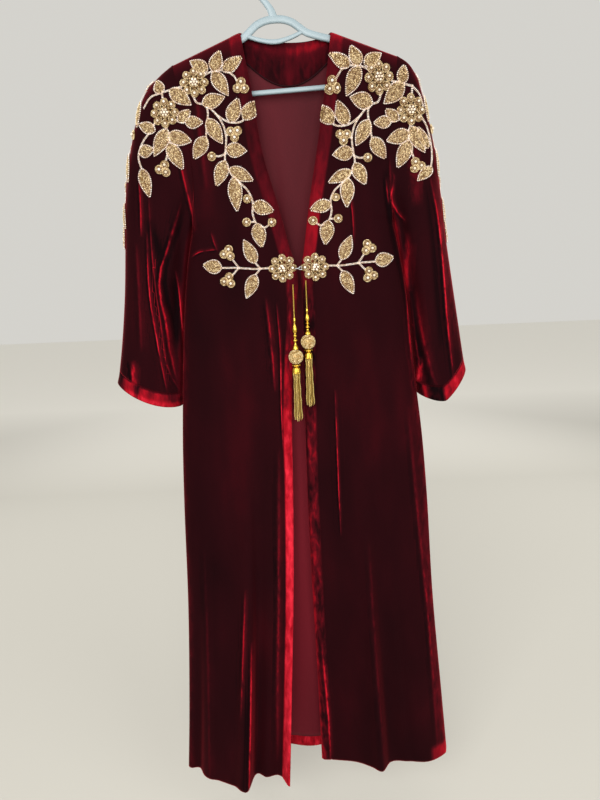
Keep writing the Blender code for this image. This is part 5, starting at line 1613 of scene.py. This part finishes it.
SHOULDER_SPRAY = Spray(
    seed=11,
    stems=(
        ((141, 70), (128, 63), (112, 60), (98, 62), (88, 69), (80, 80)),
        ((156, 98), (150, 110), (138, 113), (121, 127), (109, 146), (105, 165), (107, 185), (109, 201),
         (103, 218), (87, 238), (73, 253), (66, 271), (67, 291), (61, 307), (48, 314), (38, 308)),
        ((121, 128), (101, 141), (82, 143), (70, 137)),
        ((105, 163), (97, 160)),
        ((107, 191), (117, 195), (127, 194)),
        ((64, 304), (74, 304)),
        ((135, 114), (133, 126), (135, 140), (139, 167)),
        ((174, 84), (192, 88), (210, 92)),
        ((207, 90), (206, 104)),
        ((203, 143), (201, 160), (201, 178), (209, 203)),
        ((190, 134), (181, 139), (168, 139)),
    ),
    leaves=(
        (130, 60, 158, 43, 21), (121, 61, 108, 29, 21), (105, 61, 72, 41, 21), (121, 62, 98, 100, 23),
        (193, 88, 160, 113, 23), (141, 112, 104, 102, 23), (97, 142, 82, 105, 23), (73, 139, 52, 110, 23),
        (134, 136, 112, 175, 23), (139, 164, 161, 198, 23), (106, 185, 72, 189, 23),
        (109, 203, 126, 243, 23), (102, 216, 63, 237, 21), (96, 230, 93, 286, 23), (66, 276, 31, 288, 23),
        (61, 307, 54, 347, 23), (182, 139, 162, 121, 18), (171, 140, 142, 141, 19),
        (202, 150, 226, 191, 23), (201, 160, 163, 170, 23), (201, 172, 181, 214, 23)),
    flowers=((153, 78), (204, 124)),
    berries=((131, 195), (75, 266), (78, 304), (35, 306)),
    clusters=((76, 87, 0.4), (91, 160, 1.6), (213, 212, 2.2)))
# What each side's shoulder spray has of its own, most of it on the sleeve
SLEEVE_STEMS = {
    Side.LEFT: (((208, 92), (226, 97), (240, 114)), ((218, 134), (228, 150)),
                ((226, 148), (246, 170), (254, 190), (249, 214))),
    Side.RIGHT: (((208, 92), (219, 101), (226, 118)),
                 ((220, 132), (231, 150), (238, 178), (239, 200), (236, 219)))}
SLEEVE_LEAVES = {
    Side.LEFT: ((209, 93, 215, 70, 18), (222, 152, 250, 138, 18), (252, 184, 226, 180, 20),
                (250, 210, 240, 256, 20)),
    Side.RIGHT: ((189, 88, 196, 62, 18), (232, 184, 214, 150, 16), (238, 215, 214, 240, 18))}
WAIST_SPRAY = Spray(
    seed=23,
    stems=(
        ((43, 381), (75, 382), (108, 379), (138, 378)),
        ((102, 380), (109, 371), (116, 360)),
        ((104, 380), (112, 388), (119, 396)),
        ((66, 382), (76, 370)),
        ((66, 382), (77, 394)),
    ),
    leaves=((133, 378, 166, 372, 23), (74, 372, 92, 333, 21), (75, 392, 93, 431, 21)),
    flowers=((28.3, 383),),
    clusters=((121, 354, 0.2), (123, 400, 2.3)))
OUTER_SPRAY = Spray(
    seed=37,
    stems=(
        ((42, 2), (78, 8), (125, -6), (180, 6), (235, 0), (290, 4)),
        ((130, -4), (130, 16)),
        ((196, 4), (196, -12)),
        ((262, 2), (262, -10)),
    ),
    leaves=(
        (56, 5, 40, -26, 20), (80, 8, 112, 30, 20), (106, 0, 92, -34, 20), (140, -5, 176, -30, 20),
        (168, 3, 204, 28, 20), (214, 3, 246, -22, 20), (250, 1, 286, 24, 18), (288, 4, 328, 6, 18)),
    berries=((130, 20), (196, -16), (262, -14)))


@dataclass
class Beadwork:
    """The shoulder, outer-sleeve and waist sprays of one side."""

    side: Side
    backing: Material
    gold: Material
    rope: Material
    pearl: Material
    clasp_x: float = 0.0075

    def make(self, node: str, spray: Spray, lay: Lay, outer: bool = False) -> None:
        """Lay one spray on the cloth as its backing, its seed beads, its ropes and its pearls.

        Args:
            node: The CAD node that the pieces stand for.
            spray: Its layout.
            lay: How they go onto the cloth.
            outer: Whether they go onto the sleeve's outer side.
        """
        plan = spray.motifs()
        flats = np.concatenate([flat.reshape(-1, 2) for flat, _ in plan.plates])
        tops = np.concatenate([height.ravel() for _, height in plan.plates])
        under = lay.lay(outer, flats, np.full(len(flats), plan.lift * 0.5))
        over = lay.lay(outer, flats, tops + plan.lift)
        ends = np.cumsum([height.size for _, height in plan.plates])[:-1]
        plates = zip(plan.plates, np.split(over, ends), np.split(under, ends))
        ground = Mesh.joined([wall(high.reshape(*height.shape, 3), low.reshape(*height.shape, 3), False)
                              for (_, height), high, low in plates])
        ground.slots[:] = 0
        piece = ground.piece(node + "_backing", [self.backing])
        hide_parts(node)
        for kind, beads, material, steps in (("seeds", plan.seeds, self.gold, 0),
                                             ("ropes", plan.ropes, self.rope, 0),
                                             ("pearls", plan.pearls, self.pearl, 1)):
            rows = np.concatenate(beads)
            centres = lay.lay(outer, rows[:, :2], rows[:, 2] + plan.lift)
            tints = plan.draw.uniform(0, 1, len(rows))
            beaded = string(centres, rows[:, 3], tints, steps).piece(node + "_" + kind, [material])

    def build(self) -> None:
        """All three sprays of this side."""
        name = self.side.value
        shoulder = replace(SHOULDER_SPRAY, stems=SHOULDER_SPRAY.stems + SLEEVE_STEMS[self.side],
                           leaves=SHOULDER_SPRAY.leaves + SLEEVE_LEAVES[self.side])
        self.make("spray_shoulder_" + name, shoulder, Lay(self.side))
        self.make("spray_waist_" + name, WAIST_SPRAY, Lay(self.side, centre=self.clasp_x))
        self.make("spray_outer_" + name, OUTER_SPRAY, Lay(self.side), outer=True)


# Hanger

@dataclass
class Hanger:
    """The moulded hanger: arms, arch and bar in one loop, the eye's lower band, and the hook."""

    plastic: Material
    tilt: float = math.radians(2.4)
    depth: float = 0.0036
    half_outline: ClassVar[Table] = lengths(
        "x z half",
        (0, -64, 6), (15, -65.3, 6), (29, -70.3, 6), (41, -79, 6), (52, -87.2, 5.8), (68, -93.5, 5.6),
        (93, -101, 5.5), (130, -115.4, 5.5), (172, -132.5, 5.5), (192, -141.4, 5.2), (201, -147.5, 5),
        (205.6, -155.2, 4.8), (205, -164, 4.6), (198.5, -171, 4.3), (188, -173.7, 4.1), (100, -173.7, 4))
    eye_band: ClassVar[Table] = lengths(
        "x z half",
        (-47, -85.5, 3), (-28, -92.5, 3.4), (0, -97.5, 3.8), (28, -92.5, 3.4), (47, -85.5, 3))
    stem: ClassVar[Table] = lengths(
        "x z half",
        (0, -62.5, 7.4), (-3.5, -50, 6), (-11.5, -38, 5))
    hook_radius: float = 0.0225
    hook_half: float = 0.0045
    hook_from: float = math.radians(205)
    hook_to: float = math.radians(-38)

    def bar(self, rows: Array, depth: float, closed: bool) -> Mesh:
        """A rounded bar along rows of (x, z, half width), tilted as the hanger hangs."""
        path = np.stack((rows[:, 0], np.zeros(len(rows)), rows[:, 1]), -1)
        made = tube(path, rows[:, 2], 20, (0, 1, 0), depth / rows[:, 2], 2.7, closed)
        x, y, z = made.points.T
        cos, sin = math.cos(self.tilt), math.sin(self.tilt)
        made.points = np.stack((x * cos - z * sin, y, x * sin + z * cos), -1)
        return made

    def build(self) -> None:
        """All three bars as one piece."""
        half = np.stack(list(self.half_outline.values()), axis=1)
        loop = np.concatenate((half, half[:0:-1] * (-1, 1, 1)))
        padded = np.concatenate((loop[-3:], loop, loop[:4]))
        chord = travelled(padded[:, :2])
        at = np.linspace(chord[3], chord[-4], 260)[:-1]
        outline = np.stack([smooth(at, chord, padded[:, column]) for column in range(3)], axis=1)
        band, _ = along(np.stack(list(self.eye_band.values()), axis=1), 0.003)
        stem, _ = along(np.stack(list(self.stem.values()), axis=1), 0.003)
        turn = np.linspace(self.hook_from, self.hook_to, 48)
        centre = -(self.hook_radius - self.hook_half)
        ring = np.stack((self.hook_radius * np.cos(turn), centre + self.hook_radius * np.sin(turn),
                         self.hook_half * np.sqrt(np.clip((48.2 - np.arange(48)) / 3, 0, 1))), axis=1)
        wire = np.concatenate((stem, ring))
        parts = [self.bar(outline, self.depth, True), self.bar(band, self.depth * 0.8, False),
                 self.bar(wire, self.depth * 0.9, False)]
        piece = Mesh.joined(parts).piece("hanger_moulded", [self.plastic])
        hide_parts("hanger")


# Clasp and tassels

def middle_of(node: str) -> Array:
    """The middle of a CAD node's box."""
    low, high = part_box(node)
    return (np.array(low) + np.array(high)) / 2


@dataclass
class Clasp:
    """The wire hook on the left edge and the wire eye on the right one, fastened."""

    steel: Material
    across: float = 0.0075
    drop: float = 0.384
    radius: float = 0.0006

    def build(self) -> None:
        """Both wires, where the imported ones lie."""
        x, z = CENTRE_X + self.across, NECK_Z - self.drop
        y = middle_of("clasp_eye")[1]
        step = 2 * self.radius + 0.0004
        eye = [(x + 0.0058, y, z + 0.0017), (x + 0.0035, y, z + 0.0022), (x + 0.0006, y, z + 0.0018),
               (x - 0.0008, y, z), (x + 0.0006, y, z - 0.0018), (x + 0.0035, y, z - 0.0022),
               (x + 0.0058, y, z - 0.0017)]
        hook = [(x - 0.0068, y - step, z), (x - 0.0030, y - step, z), (x + 0.0004, y - step, z),
                (x + 0.0018, y - step * 0.55, z), (x + 0.0021, y, z), (x + 0.0016, y + step * 0.62, z),
                (x - 0.0002, y + step, z), (x - 0.0040, y + step, z)]
        for node, points, level in (("clasp_eye", eye, (0, 1, 0)), ("clasp_hook", hook, (0, 0, 1))):
            path, _ = along(np.array(points), 0.0004)
            made = tube(path, self.radius, 14, level)
            piece = made.piece(node + "_wire", [self.steel])
            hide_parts(node)


@dataclass
class Tassel:
    """A gold cord, threaded beads, a beaded ball, and a lobed cap with its chain strands."""

    side: Side
    thread: Material
    gold: Material
    beads: Material
    chain: Material
    exit_drop: float = 0.411
    bead_drop: float = 0.466
    cord_radius: float = 0.0011
    ball_radius: float = 0.013
    ball_beads: int = 330
    gap: float = 0.0003
    strand_length: float = 0.085
    strand_radius: float = 0.00070
    link: float = 0.0018
    strand_rings: Tuple = ((0.0052, 14), (0.0032, 9), (0.0010, 3))
    bead_profile: ClassVar[Table] = lengths(
        "radius down",
        (1.2, 0), (1.6, 1), (1.6, 9), (1.1, 10), (2.2, 12), (3.1, 25), (1.6, 26.5), (3.8, 30), (1.6, 33.5),
        (4.2, 37.5), (1.8, 41.5), (4.8, 49), (5.6, 52.5))
    cap_profile: ClassVar[Table] = lengths(
        "radius down",
        (6, 0), (6.8, 2.2), (3, 4), (5, 6.5), (5.5, 8.5), (6.2, 16), (6.2, 17))

    @staticmethod
    def fine(profile: Table, scale: float = 1.0) -> Array:
        """A profile's rows at close steps, closed to its axis at both ends."""
        at = np.linspace(0, profile["down"][-1], 60)
        radius = smooth(at, profile["down"], profile["radius"])
        rows = np.stack((radius, at * scale), -1)
        return np.concatenate(([(1e-5, rows[0, 1])], rows, [(1e-5, rows[-1, 1])]))

    def strands(self, x: float, y: float, z: float) -> Mesh:
        """Chain strands that hang from the cap: beaded tubes that swing out a little towards their ends."""
        parts = []
        number = 0
        for radius, count in self.strand_rings:
            for turn in turns(count):
                number += 1
                length = self.strand_length * (0.955 + 0.045 * math.cos(number * 1.7))
                sway = 0.0011 * math.sin(number * 2.3)
                down = np.linspace(-0.002, length, 96)
                share = np.clip(down / length, 0, 1)
                out = radius + share ** 1.5 * (0.0014 + sway) + 0.0003 * np.sin(down * 260 + number)
                path = np.stack((x + out * math.cos(turn), y + out * math.sin(turn), z - down), -1)
                links = np.abs(np.sin(down * math.pi / self.link + number))
                size = self.strand_radius * (0.72 + 0.28 * links)
                strand = tube(path, size, 5, (math.cos(turn), math.sin(turn), 0.0))
                strand.marks["tint"] = np.full(len(strand.points), (number * 0.618) % 1)
                parts.append(strand)
        return Mesh.joined(parts)

    def build(self) -> None:
        """The cord and everything on it."""
        name = self.side.value
        x, y, ball_z = middle_of("tassel_ball_" + name)
        exit_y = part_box("tassel_cord_" + name)[1][1] - self.cord_radius
        top, bead_top = NECK_Z - self.exit_drop, NECK_Z - self.bead_drop
        cap_top = ball_z - self.ball_radius - self.gap
        skirt_top = cap_top - self.cap_profile["down"][-1]
        middle = (top + bead_top) / 2
        knots = np.array([(x, exit_y, top), (x, exit_y + (y - exit_y) * 0.2, top - 0.010),
                          (x, exit_y + (y - exit_y) * 0.62, middle), (x, y, bead_top),
                          (x, y, (bead_top + ball_z) / 2), (x, y, ball_z), (x, y, cap_top),
                          (x, y, skirt_top - 0.018), (x, y, skirt_top - 0.036)])
        path, run = along(knots, 0.0012)
        cord = tube(path, self.cord_radius, 12, (1, 0, 0))
        cord = cord.piece("tassel_cord_" + name + "_twist", [self.thread])
        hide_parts("tassel_cord_" + name)

        scale = (bead_top - (ball_z + self.ball_radius + self.gap)) / self.bead_profile["down"][-1]
        threaded = turned(self.fine(self.bead_profile, scale), (x, y, bead_top), 28)
        threaded = threaded.piece("tassel_beads_" + name + "_turned", [self.gold])
        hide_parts("tassel_beads_" + name)

        count = self.ball_beads
        at = np.arange(count) + 0.5
        polar, turn = np.arccos(1 - 2 * at / count), np.pi * (1 + 5 ** 0.5) * at
        shell = np.stack((np.cos(turn) * np.sin(polar), np.sin(turn) * np.sin(polar), np.cos(polar)), -1)
        draw = np.random.default_rng(5)
        centres = np.array((x, y, ball_z)) + shell * (self.ball_radius - 0.0010)
        round_points, round_faces = ball(2)
        core = Mesh(np.array((x, y, ball_z)) + round_points * (self.ball_radius - 0.0011), round_faces,
                    marks={"tint": np.full(len(round_points), 0.1)})
        beaded = string(centres, draw.uniform(0.00100, 0.00125, count), draw.uniform(0, 1, count))
        knot = Mesh.joined([core, beaded]).piece("tassel_ball_" + name + "_beaded", [self.beads])
        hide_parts("tassel_ball_" + name)

        cap = turned(self.fine(self.cap_profile), (x, y, cap_top), 48, 6, 0.14)
        cap.marks["tint"] = np.full(len(cap.points), 0.8)
        skirt = Mesh.joined([cap, self.strands(x, y, skirt_top)])
        skirt.slots[:len(cap.faces)] = 1
        fringe = skirt.piece("tassel_skirt_" + name + "_chains", [self.chain, self.gold])
        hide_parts("tassel_skirt_" + name)
        2 * self.cord_radius


# Studio

@dataclass
class Studio:
    """The camera at the photograph's angle, a pale floor and soft light."""

    lens: float = 27.045
    eye: Tuple[float, float, float] = (0.02, -1.114, -0.456)
    pitch: float = math.radians(13.0)
    roll: float = math.radians(2.4)
    floor_z: float = -1.62

    def place_camera(self) -> None:
        """The camera looks along +Y, down by its pitch, rolled so that the picture turns left."""
        ahead = np.array((0, math.cos(self.pitch), -math.sin(self.pitch)))
        up = np.array((0, math.sin(self.pitch), math.cos(self.pitch)))
        right = np.array((1.0, 0, 0))
        cos, sin = math.cos(self.roll), math.sin(self.roll)
        axes = np.stack((cos * right - sin * up, sin * right + cos * up, -ahead), axis=1)
        data = bpy.data.cameras.new("camera")
        data.lens = self.lens
        data.sensor_width = 36.0
        camera = linked("camera", data)
        camera.matrix_world = Matrix.Translation(self.eye) @ Matrix(axes.tolist()).to_4x4()
        bpy.context.scene.camera = camera

    def lay_floor(self) -> None:
        """A pale floor just below the hem."""
        x, y = np.meshgrid(np.linspace(-9, 9, 3), np.linspace(-9, 9, 3))
        points = np.stack((x, y, np.full(x.shape, self.floor_z)), -1).reshape(-1, 3)
        mesh = bpy.data.meshes.new("floor")
        mesh.from_pydata(points.tolist(), [], grid_faces(3, 3, False).tolist())
        mesh.materials.append(Plain().material("floor_pale"))
        floor = linked("floor", mesh)

    def light(self, name: str, place: Sequence[float], target: Sequence[float], size: float, power: float,
              colour: Colour = (1.0, 0.98, 0.95)) -> None:
        """One soft square light that faces a target."""
        data = bpy.data.lights.new(name, "AREA")
        data.size = size
        data.energy = power
        data.color = colour
        lamp = linked(name, data)
        back = unit(np.array(place, float) - np.array(target, float))
        side = unit(np.cross((0, 0, 1.0), back))
        axes = np.stack((side, np.cross(back, side), back), axis=1)
        lamp.matrix_world = Matrix.Translation(place) @ Matrix(axes.tolist()).to_4x4()

    def build(self) -> None:
        """Camera, floor, lights, and a pale world."""
        self.place_camera()
        self.lay_floor()
        self.light("key", (-1.0, -2.6, 0.9), (0, 0, -0.7), 1.6, 52)
        self.light("front", (0.1, -3.0, -0.2), (0, 0, -0.8), 1.3, 46)
        self.light("fill", (1.9, -1.9, 0.1), (0, 0, -0.8), 1.8, 24)
        self.light("back_left", (-1.8, 1.9, 0.6), (0, 0, -0.7), 1.6, 34)
        self.light("back_right", (1.7, 2.1, 0.3), (0, 0, -0.8), 1.6, 30)
        world = bpy.data.worlds.new("studio")
        world.use_nodes = True
        world.node_tree.nodes["Background"].inputs["Color"].default_value = (*tone("e4e2dc"), 1.0)
        world.node_tree.nodes["Background"].inputs["Strength"].default_value = 0.85
        bpy.context.scene.world = world
        bpy.context.scene.view_settings.view_transform = "Standard"


def main() -> None:
    """Build the studio and every piece; each piece logs its face count as it is made."""
    Studio().build()
    velvet = Velvet().material("velvet_pile")
    satin = Satin().material("lining_satin")
    gold_bead = Beads("8f6a34", "ffeabc", 0.30, 0.27).material("seed_beads")
    rope_bead = Beads("d8b89c", "fff6f0", 0.22, 0.30).material("rope_beads")
    pearl = Beads("d8c8b0", "fbf1e4", 0.05, 0.18).material("pearls")
    backing = Beads("5c3e1a", "946c34", 0.30, 0.50).material("gold_backing")
    for side in Side:
        sizes = {} if side is Side.LEFT else {"exit_drop": 0.405, "bead_drop": 0.452}
        Tassel(side, Thread().material("cord_thread_" + side.value),
               Metal("b98a1e", "f2cf5c").material("turned_gold_" + side.value),
               Beads("9c7838", "fbe8b8", 0.42, 0.26).material("ball_beads_" + side.value),
               Beads("9c7a2a", "f4dc8e", 0.8, 0.30).material("chain_gold_" + side.value), **sizes).build()
    Garment(velvet, satin, Satin("1e070a", "34101a").material("piping_cord")).build()
    for side in Side:
        Beadwork(side, backing, gold_bead, rope_bead, pearl).build()
    Hanger(Plastic().material("hanger_plastic")).build()
    Clasp(Metal("8c8c90", "d0d0d4").material("plated_wire")).build()


if __name__ == "__main__":
    main()
